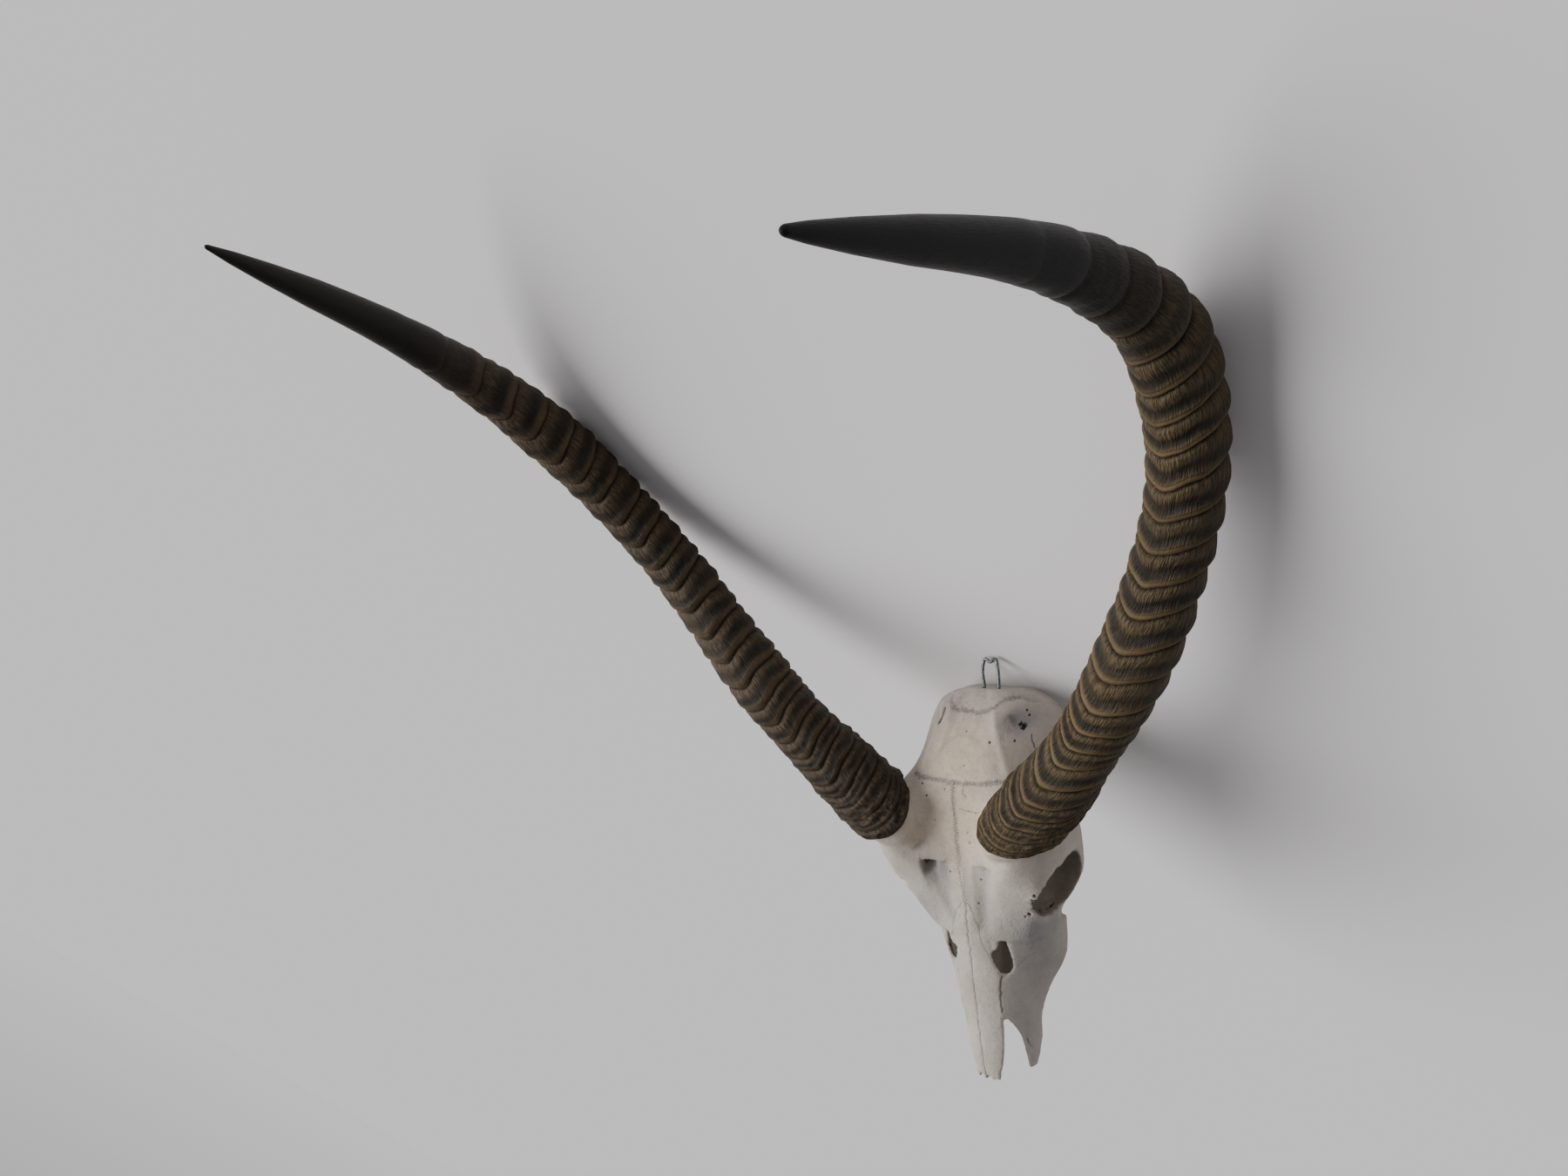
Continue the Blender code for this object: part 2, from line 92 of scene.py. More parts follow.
# how light the horn is, against the distance along it
RIGHT_TONE = [(0, 0.95), (100, 1.05), (150, 1), (220, 0.85), (270, 0.85), (330, 1.05), (400, 0.75),
              (460, 0.25), (700, 0.2)]
LEFT_TONE = [(0, 0.8), (60, 1.15), (120, 1.45), (200, 1.3), (300, 1.3), (400, 1.5), (700, 1.6)]
VOXEL = 1.45  # grain of the skull's even mesh, mm
# the colours of each horn: striated band, lip, the dark of the dips (stain and painted shade) and of the
# creases (painted shade), smooth tip
OLIVE = ((0.1, 0.071, 0.034), (0.118, 0.08, 0.038), (0.008, 0.006, 0.0042), (0.004, 0.0034, 0.003))
BROWN = ((0.076, 0.053, 0.031), (0.09, 0.061, 0.033), (0.007, 0.0055, 0.004), (0.013, 0.0105, 0.0085))
BONE, BONE_DARK = (0.5, 0.455, 0.405), (0.41, 0.365, 0.32)
# the second colour below is laid on grey patches and, as painted shade, in the channels and hollows of the
# bone
BONE_WARM, BONE_GREY_AND_SHADE = (0.7, 0.565, 0.425), (0.25, 0.243, 0.255)

# ---- head: at each y a half section (x, z), from the ridge of the roof to the sawn face ----
HEAD_SECTIONS = [
    (-112, [(0, 55), (8, 54.6), (16, 52.5), (25, 48.5), (33, 44), (39, 38), (43, 28), (44, 14), (43, 0)]),
    (-95, [(0, 60), (8, 59.6), (17, 58), (27, 56), (37, 54), (46, 50), (50, 37), (48, 15), (45, 0)]),
    (-80, [(0, 63), (8, 63), (17, 63), (28, 63.5), (40, 63), (50, 60), (57, 54), (59, 18), (53, 0)]),
    (-65, [(0, 65), (8, 65.5), (17, 68), (29, 72), (42, 74), (55, 71), (62, 62), (65, 20), (61, 0)]),
    (-50, [(0, 67), (8, 68), (17, 71), (30, 77), (46, 86), (60, 79), (68, 63), (67, 22), (61, 0)]),
    (-35, [(0, 69), (9, 69.5), (18, 71), (30, 78), (45, 90), (60, 85), (70, 61), (66, 24), (59, 0)]),
    (-20, [(0, 70.5), (9, 70.3), (20, 71), (31, 76), (43, 85), (59, 79), (65, 56), (63, 24), (55, 0)]),
    (-5, [(0, 71), (10, 70.5), (20, 69.5), (31, 68.5), (41, 68), (51, 62), (57, 45), (57, 22), (53, 0)]),
    (10, [(0, 69), (10, 68.5), (20, 67), (30, 64), (38, 59), (45, 49), (51, 35), (53, 18), (51, 0)]),
    (25, [(0, 61.5), (10, 61), (19, 60.5), (27, 57.5), (34, 52), (42, 42), (49, 30), (52, 15), (51, 0)]),
    (42, [(0, 51), (9, 51), (16, 52), (21, 52), (29, 47), (38, 36), (46, 25), (49, 12), (49, 0)]),
    (54, [(0, 42), (8, 42), (15, 43), (21, 42), (28, 38), (35, 31), (39, 21), (41, 10), (40, 0)]),
    (62, [(0, 33), (5, 33), (9, 33), (13, 31), (17, 26), (20, 20), (22, 14), (23, 7), (23, 0)]),
]
# snout: y, half width, height of the ridge, height of the edge
NASAL_ROOF = [(-92, 19, 60.5, 57), (-120, 17.5, 53, 48.5), (-150, 16.5, 46.5, 42.5),
              (-178, 16, 40.5, 36.5), (-200, 14, 36, 33), (-214, 11, 33, 31), (-221, 9, 31.5, 30)]
# cheeks: y, upper edge (x, z), lower edge (x, z), swelling
CHEEK = [(-100, (18, 55), (49, 1), 8), (-112, (17, 52), (49, 0), 8), (-127, (17, 48), (48, 0), 6),
         (-150, (16.5, 42), (37, 0), 5), (-168, (16.5, 38), (30, 0), 4), (-180, (21, 27), (28, 0), 3),
         (-200, (24, 17), (27, 0), 2), (-214, (23.5, 10), (24, 1), 0.5)]
# hollows, as ellipsoids: centre and radii; the side ones are cut on both sides
HOLLOWS = [((0, 12, -4), (34, 34, 50)), ((0, -114, -2), (30, 26, 46))]
SIDE_HOLLOWS = [((60, -69, 35), (33, 24, 27)), ((31, 43, 47), (3.5, 6, 5))]
CHEEK_GAP = [(21.7, -106.3, 52), (24.9, -107.4, 50.3), (26.7, -109.2, 48.9), (26.2, -115.3, 46.7),
             (26.8, -120.7, 44.3), (27.3, -127.4, 41.5), (26.1, -133.7, 39.4), (21.3, -138.4, 39.5),
             (16.7, -141.7, 40), (16, -136.2, 42.4), (14.2, -130.9, 45.2), (13.5, -122.7, 48.7),
             (16.9, -119.7, 48.6), (19.7, -116.7, 48.7)]
GAP_WAY, GAP_DEEP = (0.68, 0.16, 0.72), 8  # the gap is cut this way, this far to each side
GAP_SIDES = (1, -1.12)  # the left gap lies a little further out
NOSE_NOTCHES = [((-5.4, -224, 31), (2, 9, 6)), ((1.2, -225, 31), (1.8, 10, 6)),
                ((6.4, -224, 31), (1.8, 8, 6)), ((12.5, -219, 30), (3, 10, 6)),
                ((-13, -218, 30), (2.6, 10, 6))]
# the bony wall in the middle of the nose (y, z), and its foot (x, z)
SEPTUM = [(-84, 0), (-84, 60), (-120, 51), (-146, 45), (-157, 34), (-155, 0)]
SEPTUM_FOOT = [(-7, 0), (7, 0), (7, 5), (1.1, 13), (-1.1, 13), (-7, 5)]
FOOT_Y, FOOT_HALF, SEPTUM_HALF = -118.5, 34.5, 1.5
NASAL_THICK, CHEEK_THICK = 3.6, 3.2
# the bone under each horn, as distance along the horn and radius, and the room left round it
STUB = [(-30, 11), (-12, 20), (0, 24), (10, 24)]
SEAT_GAP = 0.5

WIRE_RADIUS, WIRE_SIDES = 1.3, 18
WIRE_PATH = [(-1.5, 52, 28), (-1.5, 66, 28.5), (-2, 78, 29), (1, 83.5, 29.5), (4.5, 81.5, 30),
             (8, 83.5, 29.5), (10, 78, 29), (10.5, 66, 28.5), (10.5, 52, 28)]


# ---- shared helpers ----
def at(table, where):
    """Read a table of (place, value) rows."""
    return np.interp(where, *zip(*table))


def spline(points, sub):
    """Smooth curve through the points: sub pieces between each two. Points are (n, ...)."""
    p = np.array(points, float)
    flat = p.reshape(len(p), -1)
    size = np.linalg.norm(np.diff(flat, axis=0), axis=1) / math.sqrt(flat.shape[1] / 3)
    t = np.concatenate([[0.0], np.cumsum(size)])
    n, h = len(p), np.diff(t)
    left, right = np.eye(n), np.zeros_like(flat)
    for k in range(1, n - 1):
        left[k, k - 1:k + 2] = (h[k - 1], 2 * (h[k - 1] + h[k]), h[k])
        right[k] = 6 * ((flat[k + 1] - flat[k]) / h[k] - (flat[k] - flat[k - 1]) / h[k - 1])
    bend = np.linalg.solve(left, right)
    k = np.append(np.repeat(np.arange(n - 1), sub), n - 2)
    share = np.append(np.tile(np.arange(sub) / sub, n - 1), 1.0)
    hk = h[k][:, None]
    b = share[:, None] * hk
    a = hk - b
    out = ((bend[k] * a ** 3 + bend[k + 1] * b ** 3) / (6 * hk)
           + (flat[k] / hk - bend[k] * hk / 6) * a + (flat[k + 1] / hk - bend[k + 1] * hk / 6) * b)
    return out.reshape(len(k), *p.shape[1:])


def unit(v):
    return v / np.linalg.norm(v, axis=-1, keepdims=True)


class Curve:
    """A smooth path asked by the distance along it."""

    def __init__(self, points):
        self.p = spline(points, 60)
        self.s = np.concatenate([[0.0], np.cumsum(np.linalg.norm(np.diff(self.p, axis=0), axis=1))])
        self.length = float(self.s[-1])

    def within(self, s):
        return np.stack([np.interp(s, self.s, self.p[:, k]) for k in range(3)], -1)

    def point(self, s):
        s = np.asarray(s, float)
        inside = np.clip(s, 0.0, self.length)
        return self.within(inside) + self.along(inside) * (s - inside)[..., None]

    def along(self, s):
        s = np.clip(s, 2.0, self.length - 2.0)
        return unit(self.within(s + 2.0) - self.within(s - 2.0))


def noise(p, size, seed=0):
    """Smooth repeatable noise from -1 to 1, features about size across."""
    q = np.asarray(p, float) / size + seed * 17.31
    i = np.floor(q).astype(np.int64)
    f = q - i
    f = f * f * (3 - 2 * f)
    total = np.zeros(q.shape[:-1])
    for dx, dy, dz in np.ndindex(2, 2, 2):
        h = (i[..., 0] + dx) * HASH[0] + (i[..., 1] + dy) * HASH[1] + (i[..., 2] + dz) * HASH[2]
        h = (h ^ (h >> 13)) & 0xFFFFFFFF
        h = (h * HASH[3]) & 0xFFFFFFFF
        h = (h ^ (h >> 16)) & 0xFFFF
        w = (f[..., 0] if dx else 1 - f[..., 0]) * (f[..., 1] if dy else 1 - f[..., 1])
        total += w * (f[..., 2] if dz else 1 - f[..., 2]) * (h / 32767.5 - 1)
    return total


def row(along, place=0.0):
    """Noise points along a line; each place has its own pattern."""
    return np.stack([along, along * 0 + place, along * 0], -1)


def fractal(p, size, octaves, seed):
    return sum(noise(p, size / 2 ** k, seed + k) / 2 ** k for k in range(octaves)) / 1.6


def bump(d, width):
    """1 at d = 0, falling to 0 past about twice the width."""
    return np.exp(-(np.asarray(d) / width) ** 2)


def ramp(x, low, high):
    """0 up to low, 1 from high, smooth between."""
    t = np.clip((np.asarray(x, float) - low) / (high - low), 0, 1)
    return t * t * (3 - 2 * t)


def link(name, data):
    made = bpy.data.objects.new(name, data)
    bpy.context.scene.collection.objects.link(made)
    return made


def with_ends(grid):
    """The rows as one list, then the mean of the first row and that of the last."""
    return np.concatenate([grid.reshape(-1, *grid.shape[2:]), grid[[0, -1]].mean(1)])


def circle(e1, e2, count):
    """Unit steps round each point of a path, from the two axes across it."""
    turn = np.linspace(0, 2 * math.pi, count, endpoint=False)
    return e1[:, None] * np.cos(turn)[:, None] + e2[:, None] * np.sin(turn)[:, None]


def new_object(name, verts, faces):
    """A smooth mesh from millimetres in the skull's frame, faces turned outwards."""
    mesh = bpy.data.meshes.new(name)
    mesh.from_pydata(np.asarray(verts, float) * MM, [], [tuple(int(i) for i in f) for f in faces])
    made = link(name, mesh)
    bm = bmesh.new()
    bm.from_mesh(mesh)
    bmesh.ops.recalc_face_normals(bm, faces=bm.faces)
    if bm.calc_volume(signed=True) < 0:
        bmesh.ops.reverse_faces(bm, faces=bm.faces)
    bm.to_mesh(mesh)
    bm.free()
    mesh.shade_smooth()
    return made


def tube(name, rings):
    """A tube through equal rings, closed by a fan at each end."""
    rings = np.asarray(rings, float)
    rows, count = rings.shape[:2]
    base = np.arange(rows - 1)[:, None] * count
    k = np.arange(count)[None, :]
    a, b = base + k, base + (k + 1) % count
    quads = np.stack([a, b, b + count, a + count], -1).reshape(-1, 4).tolist()
    first, last = rows * count, rows * count + 1
    top = (rows - 1) * count
    fans = [(j, (j + 1) % count, first) for j in range(count)]
    fans += [(top + j, top + (j + 1) % count, last) for j in range(count)]
    return new_object(name, with_ends(rings), quads + fans)


def coords(mesh):
    co = np.empty(len(mesh.vertices) * 3)
    mesh.vertices.foreach_get("co", co)
    return co.reshape(-1, 3) / MM


def store(mesh, name, values):
    """A per-point value, or a vector, for the finish to read."""
    values = np.asarray(values, np.float32)
    kind = "FLOAT" if values.ndim == 1 else "FLOAT_VECTOR"
    made = mesh.attributes.new(name, kind, "POINT")
    made.data.foreach_set("value" if kind == "FLOAT" else "vector", values.ravel())


def settle(made, node, finish, name):
    """Carry a piece to the trophy's pose and let it stand for its CAD node."""
    store(made.data, "place", coords(made.data))
    made.data.transform(STAND)
    made.data.update()
    made.name = made.data.name = name
    made.data.materials.clear()
    made.data.materials.append(finish)
    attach(made, "root")
    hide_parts(node)


# ---- node helpers ----
class Finish:
    """A procedural finish under construction."""

    def __init__(self, name):
        self.mat = bpy.data.materials.new(name)
        self.mat.use_nodes = True
        self.tree = self.mat.node_tree
        self.shader = self.tree.nodes["Principled BSDF"]

    def node(self, kind, **fields):
        made = self.tree.nodes.new(kind)
        for key, value in fields.items():
            setattr(made, key, value)
        return made

    def put(self, socket, value):
        if isinstance(value, bpy.types.NodeSocket):
            self.tree.links.new(value, socket)
        elif value is not None:
            socket.default_value = value

    def attribute(self, name, vector=False):
        made = self.node("ShaderNodeAttribute", attribute_name=name)
        return made.outputs["Vector" if vector else "Fac"]

    def math(self, op, a, b=None):
        made = self.node("ShaderNodeMath", operation=op)
        self.put(made.inputs[0], a)
        self.put(made.inputs[1], b)
        return made.outputs[0]

    def times(self, a, b):
        return self.math("MULTIPLY", a, b)

    def plus(self, a, b):
        return self.math("ADD", a, b)

    def scaled(self, vector, scale):
        made = self.node("ShaderNodeVectorMath", operation="MULTIPLY")
        self.put(made.inputs[0], vector)
        made.inputs[1].default_value = scale
        return made.outputs[0]

    def noise(self, vector, scale, detail=3.0, rough=0.55, distortion=0.0):
        made = self.node("ShaderNodeTexNoise")
        self.put(made.inputs["Vector"], vector)
        for key, value in (("Scale", scale), ("Detail", detail), ("Roughness", rough),
                           ("Distortion", distortion)):
            made.inputs[key].default_value = value
        return made.outputs["Fac"]

    def cells(self, vector, scale):
        made = self.node("ShaderNodeTexVoronoi")
        self.put(made.inputs["Vector"], vector)
        made.inputs["Scale"].default_value = scale
        return made.outputs["Distance"]

    def steps(self, value, low, high, to_low=0.0, to_high=1.0):
        made = self.node("ShaderNodeMapRange", interpolation_type="SMOOTHSTEP")
        for k, v in enumerate((value, low, high, to_low, to_high)):
            self.put(made.inputs[k], v)
        return made.outputs[0]

    def mix(self, share, a, b, blend="MIX"):
        made = self.node("ShaderNodeMix", data_type="RGBA", blend_type=blend)
        self.put(made.inputs[0], share)
        for k, value in ((6, a), (7, b)):
            colour = isinstance(value, tuple) and len(value) == 3
            self.put(made.inputs[k], (*value, 1.0) if colour else value)
        return made.outputs[2]

    def over(self, share, colour, blend="MIX"):
        """Lay a colour over the finish's own colour, by a share."""
        self.colour = self.mix(share, self.colour, colour, blend)

    def bump(self, height, distance, strength):
        made = self.node("ShaderNodeBump")
        made.inputs["Strength"].default_value = strength
        made.inputs["Distance"].default_value = distance
        self.put(made.inputs["Height"], height)
        return made.outputs[0]

    def close(self, colour, roughness, normal=None, **constants):
        self.put(self.shader.inputs["Base Color"], colour)
        self.put(self.shader.inputs["Roughness"], roughness)
        if normal is not None:
            self.put(self.shader.inputs["Normal"], normal)
        for key, value in constants.items():
            self.shader.inputs[key].default_value = value
        return self.mat


def tint(colour, share):
    return tuple(c * share for c in colour)


def horn_finish(name, band, roll, dark, tip):
    """Ringed horn: fibres along the bands, smooth paler lips, dips darkened by stain and painted shade,
    painted shade in the creases, near-black tip.
    """
    f = Finish(name)
    fibre, place = f.attribute("fibre", True), f.attribute("place", True)
    rolls, dips, crease, tone, swell, ringed, rim = (
        f.attribute(k) for k in "rolls dips crease tone swell ringed rim".split())
    strands = f.noise(f.scaled(fibre, (1.0, 1.0, 0.10)), 1.3, 1.0, 0.5)
    fine = f.noise(f.scaled(fibre, (1.0, 1.0, 0.08)), 3.0, 2.0, 0.6)
    clouds = f.noise(place, 0.045, 3.0, 0.6)
    spots = f.noise(place, 0.30, 4.0, 0.65)
    f.colour = f.mix(f.steps(strands, 0.42, 0.60), tint(band, 0.42), band)
    f.over(f.times(f.steps(fine, 0.48, 0.70), 0.45), tint(band, 1.35))
    # darker low in each band by the dip, fading up the swelling: part stain, part painted shade
    f.over(f.steps(swell, 0.0, 1.0, 0.38, 0.0), tint(band, 0.30))
    f.over(f.times(rolls, f.steps(spots, 0.25, 0.60, 0.6, 1.0)), roll)
    # the dips above the lips: part stain, part painted shade
    f.over(f.times(dips, f.steps(strands, 0.35, 0.80, 1.0, 0.75)), dark)
    f.over(f.times(rim, f.steps(spots, 0.45, 0.68, 0.0, 0.7)), tint(roll, 1.5))
    # painted shade in the creases between the rings
    f.over(f.times(crease, 0.85), tint(dark, 0.5))
    f.over(f.steps(clouds, 0.35, 0.75, 0.0, 0.45), tint(band, 0.45))
    shade = f.node("ShaderNodeCombineColor")
    for k in range(3):
        f.put(shade.inputs[k], tone)
    f.over(1.0, shade.outputs[0], "MULTIPLY")
    f.over(f.math("SUBTRACT", 1.0, ringed), tip)
    specks = f.times(f.steps(f.cells(place, 0.10), 0.03, 0.018), 0.6)
    f.over(f.times(specks, ringed), (0.25, 0.23, 0.19))
    height = f.plus(strands, f.times(fine, 0.4))
    height = f.times(height, f.steps(rolls, 0.2, 0.9, 1.0, 0.15))
    height = f.times(height, f.steps(ringed, 0.0, 1.0, 0.12, 1.0))
    height = f.plus(height, f.times(f.times(spots, rim), 1.2))
    normal = f.bump(height, 0.0012, 1.0)
    rough = f.plus(f.steps(ringed, 0.0, 1.0, 0.42, 0.55), f.times(spots, 0.14))
    return f.close(f.colour, rough, normal, **{"Specular IOR Level": 0.20})


def bone_finish(name):
    """Dry weathered bone: cream with warm and grey patches, grey sutures and fine pores, painted shade in
    pits, cracks, channels and hollows, and painted highlights on ridges.
    """
    f = Finish(name)
    place = f.attribute("place", True)
    suture, knit, pit, inside, cool, warm, pale, coarse, brown = (
        f.attribute(k) for k in "suture knit pit inside cool warm pale coarse brown".split())
    clouds = f.noise(place, 0.035, 4.0, 0.6)
    patches = f.noise(place, 0.12, 4.0, 0.65)
    mottle = f.noise(place, 0.33, 3.0, 0.6)
    grain = f.noise(place, 1.1, 3.0, 0.6)
    loops = f.noise(place, 0.62, 1.5, 0.5, 0.6)
    pores = f.cells(place, 0.85)
    f.colour = f.mix(f.steps(clouds, 0.3, 0.7), BONE_DARK, BONE)
    f.over(f.times(warm, f.steps(patches, 0.25, 0.7, 0.4, 0.95)), BONE_WARM)
    # grey patches, and painted shade in the channels and hollows
    f.over(f.times(cool, f.steps(patches, 0.2, 0.8, 0.55, 1.0)), BONE_GREY_AND_SHADE)
    f.over(f.steps(mottle, 0.45, 0.75, 0.0, 0.30), tint(BONE_DARK, 0.72))
    f.over(f.steps(grain, 0.45, 0.8, 0.0, 0.30), tint(BONE_DARK, 0.62))
    # painted highlight on the ridges and the orbit rims
    f.over(f.times(pale, 0.6), tint(BONE, 1.22))
    f.over(f.times(brown, f.steps(patches, 0.35, 0.6, 0.5, 1.0)), (0.16, 0.105, 0.06))
    f.over(f.times(coarse, f.steps(pores, 0.24, 0.05, 0.0, 0.8)), (0.17, 0.145, 0.13))
    f.over(f.times(knit, 0.6), (0.27, 0.255, 0.245))
    thread = f.steps(f.math("ABSOLUTE", f.math("SUBTRACT", loops, 0.5)), 0.012, 0.05, 1.0, 0.0)
    f.over(f.times(f.times(knit, thread), 0.6), (0.12, 0.108, 0.098))
    f.over(f.times(suture, 0.85), (0.105, 0.093, 0.085))
    # painted shade in the hollows of snout, braincase and eye sockets, in a brown-grey
    f.over(f.times(inside, 0.93), f.mix(patches, (0.15, 0.127, 0.105), (0.30, 0.25, 0.205)))
    # painted shade: near-black in the pits, cracks and slots under the brow
    f.over(pit, (0.03, 0.024, 0.02))
    height = f.plus(f.times(grain, 0.7), f.plus(patches, f.times(mottle, 0.4)))
    holes = f.times(f.steps(pores, 0.24, 0.0), f.plus(f.times(coarse, 1.6), 0.15))
    height = f.math("SUBTRACT", height, holes)
    height = f.math("SUBTRACT", height, f.times(f.times(knit, thread), 0.5))
    normal = f.bump(height, 0.0008, 0.9)
    rough = f.plus(0.62, f.times(grain, 0.2))
    return f.close(f.colour, rough, normal, **{"Specular IOR Level": 0.25})


def wire_finish(name):
    """Dull steel, brighter where it is worn."""
    f = Finish(name)
    place = f.attribute("place", True)
    wear = f.noise(place, 0.6, 4.0, 0.6)
    colour = f.mix(f.steps(wear, 0.35, 0.65), (0.10, 0.11, 0.115), (0.26, 0.28, 0.29))
    normal = f.bump(f.noise(place, 2.5, 2.0), 0.0001, 0.6)
    return f.close(colour, f.steps(wear, 0.3, 0.7, 0.55, 0.35), normal, Metallic=0.85)


# ---- horns ----
def ring_edges(side):
    """The creases of a horn, as distances along it: the measured ones, then evenly growing ones."""
    edges = list(RIGHT_GROOVES if side > 0 else LEFT_GROOVES)
    while edges[-1] < LAST_RING:
        edges.append(edges[-1] + float(at(RING_PITCH, edges[-1])))
    return np.array(edges)


def horn_axes(curve, s, side):
    """Centre, direction and the two axes across a horn, at a distance along it or at several."""
    centre, along = curve.point(s), curve.along(s)
    toward = np.array([TILT_SIDE[0] * side, TILT_SIDE[1], TILT_SIDE[2]])
    e1 = unit(toward - along * (along @ toward)[..., None])
    return centre, along, e1, np.cross(along, e1) * side


def wrap(angle, radius, height):
    """Points round a pole, where noise has no seam."""
    return np.stack([np.cos(angle) * radius, np.sin(angle) * radius, height], -1)


def build_horn(path, side):
    """One horn: points round a path, moved in and out by the rings, the fibres and the lumps."""
    curve = Curve(path)
    length = curve.length
    point_rows = length - POINT * (1 - np.linspace(0.12, 1, 10) ** 0.5)
    s = np.concatenate([RIM_ROWS, np.arange(2.9, RINGED_END, HORN_STEP),
                        np.linspace(RINGED_END, length - POINT, 50), point_rows])
    turn = np.linspace(0, 2 * math.pi, HORN_SIDES, endpoint=False)
    centre, along, e1, e2 = horn_axes(curve, s, side)
    out = circle(e1, e2, HORN_SIDES)
    S = np.broadcast_to(s[:, None], (len(s), HORN_SIDES))
    A = np.broadcast_to(turn[None, :], S.shape)
    crest = at((RIGHT_BASE if side > 0 else LEFT_BASE) + HORN_TAPER, S)
    skin = wrap(A, crest, S)
    seed, stray, lumpy, foot_lumpy, lip_share, knob_share = RIGHT_WAYS if side > 0 else LEFT_WAYS

    # each point's place within its ring; the rings wander, and stand in a V with its point in front
    front = (A - math.radians(RING_POINT) + math.pi) % (2 * math.pi) - math.pi
    gap = np.abs(front)
    high = ramp(S, 120, 185)
    arm = np.where(front < 0, 8.5 - 2.0 * high, 2.5 + 3.0 * high)
    rise = arm * (1 - np.exp((0.22 - np.hypot(gap, 0.22)) / 0.5))
    rise = rise * (1 - ramp(gap, 0.6, 2.2)) * ramp(S, 6, 45)
    wander = stray * noise(skin, 26.0, seed) + 0.9 * noise(skin, 9.0, seed + 1)
    label = S - rise + wander * ramp(S, 4, 25) * (0.7 + 0.3 * ramp(S, 60, 160))
    edges = ring_edges(side)
    k = np.clip(np.searchsorted(edges, label, side="right") - 1, 0, len(edges) - 2)
    pitch = edges[k + 1] - edges[k]
    phase = np.clip((label - edges[k]) / pitch, 0, 1)
    fade = 1 - ramp(S, *RINGS_FADE)
    facing = ramp(np.cos(front * 0.5) ** 2, 0.30, 0.85)
    own = wrap(A, 20, k * 37.0)  # one pattern to each ring
    depth = at(RING_DEPTH, label) * (1.05 + 0.25 * noise(own, 22.0, seed + 2))
    lipped = facing * lip_share
    height = lipped * at(RING_FRONT, phase) + (1 - lipped) * at(RING_SIDE, phase)
    knobs = knob_share * ramp(-front, 0.5, 1.4) * (1 - ramp(-front, 2.2, 3.0))
    knobs = knobs * ramp(S, 60, 110) * fade
    height = height + (at(RING_KNOB, phase) - height) * knobs
    radius = crest - depth * (1 - height)

    # relief: fibres that fan out up each band, lumps near the base, a rounded rim and point
    climb = phase * pitch
    fan = front - 0.007 * climb * np.sin(front)
    fibre = wrap(fan, crest, S + k * 41.0)
    band = ramp(phase, 0.24, 0.40) * (1 - ramp(phase, 0.86, 0.97))
    strand = noise(fibre * (1, 1, 0.12), 1.4, seed + 3)
    radius = radius + 0.22 * strand * band * fade
    lumps = fractal(skin * (1, 1, 2.0), 8.0, 3, seed + 4)
    radius = radius + lumps * (lumpy * fade + foot_lumpy * (1 - ramp(S, 20, 95)))
    radius = radius - 3.0 * (1 - np.sqrt(1 - np.clip(1 - S / 3.0, 0, 1) ** 2))
    radius = radius * np.sqrt(1 - np.clip((S - length + 2.5) / 2.52, 0, 1) ** 2)
    lean = at(RING_SLOPE, S) * crest * np.cos(A)
    made = tube("horn", centre[:, None] + out * radius[..., None] + along[:, None] * lean[..., None])

    medial = ramp(-front, -0.4, 0.9) * (1 - ramp(-front, 2.2, 3.0))
    lip = ramp(phase, 0.0, 0.06) * (1 - ramp(phase, 0.17, 0.31)) * fade * (0.15 + 0.85 * lipped)
    blotch = noise(own * (1, 1, 0.3), 15.0, seed + 8)
    # dips: stain and painted shade above each lip, heavier on the inner side and at the front; at the
    # sides, painted shade beside the creases
    dips = ramp(phase, 0.24, 0.36) * (1 - ramp(phase, 0.48, 0.72 + 0.12 * medial))
    dips = dips * np.clip(0.9 + 0.15 * medial + 0.4 * blotch, 0, 1) * (0.4 + 0.6 * facing)
    edge = np.minimum(phase, 1 - phase)
    dips = np.maximum(dips, (1 - facing) * (1 - ramp(edge, 0.0, 0.16)) * 0.8) * fade
    # where the creases get painted shade
    crease = bump(edge * pitch, 0.75) * fade
    tone = at(RIGHT_TONE if side > 0 else LEFT_TONE, S)
    store(made.data, "fibre", with_ends(fibre + 0.15 * noise(skin, 14.0, seed + 6)[..., None]))
    for key, grid in (("rolls", lip), ("dips", dips), ("crease", crease), ("tone", tone),
                      ("swell", ramp(phase, 0.35, 0.90)), ("ringed", 1 - ramp(S, 395, 500)),
                      ("rim", 1 - ramp(S, 4, 45))):
        store(made.data, key, with_ends(grid))
    return made


# ---- skull ----
def plate(rows, thick):
    """A thin plate below a grid of surface points."""
    grid = spline(np.swapaxes(spline(rows, 5), 0, 1), 4)
    grid = np.swapaxes(grid, 0, 1)
    across, along = np.gradient(grid, axis=1), np.gradient(grid, axis=0)
    normal = unit(np.cross(across, along))
    inner = grid - normal * thick * np.sign(normal[:, :, 2:3].sum())
    n, m = grid.shape[:2]
    faces = []
    for i in range(n - 1):
        for j in range(m - 1):
            a = i * m + j
            faces.append((a, a + 1, a + m + 1, a + m))
            faces.append(tuple(q + n * m for q in (a, a + m, a + m + 1, a + 1)))
    rim = list(range(m)) + [i * m + m - 1 for i in range(1, n)]
    rim += [(n - 1) * m + j for j in range(m - 2, -1, -1)] + [i * m for i in range(n - 2, 0, -1)]
    faces += [(a, b, b + n * m, a + n * m) for a, b in zip(rim, rim[1:] + rim[:1])]
    return new_object("plate", np.concatenate([grid.reshape(-1, 3), inner.reshape(-1, 3)]), faces)


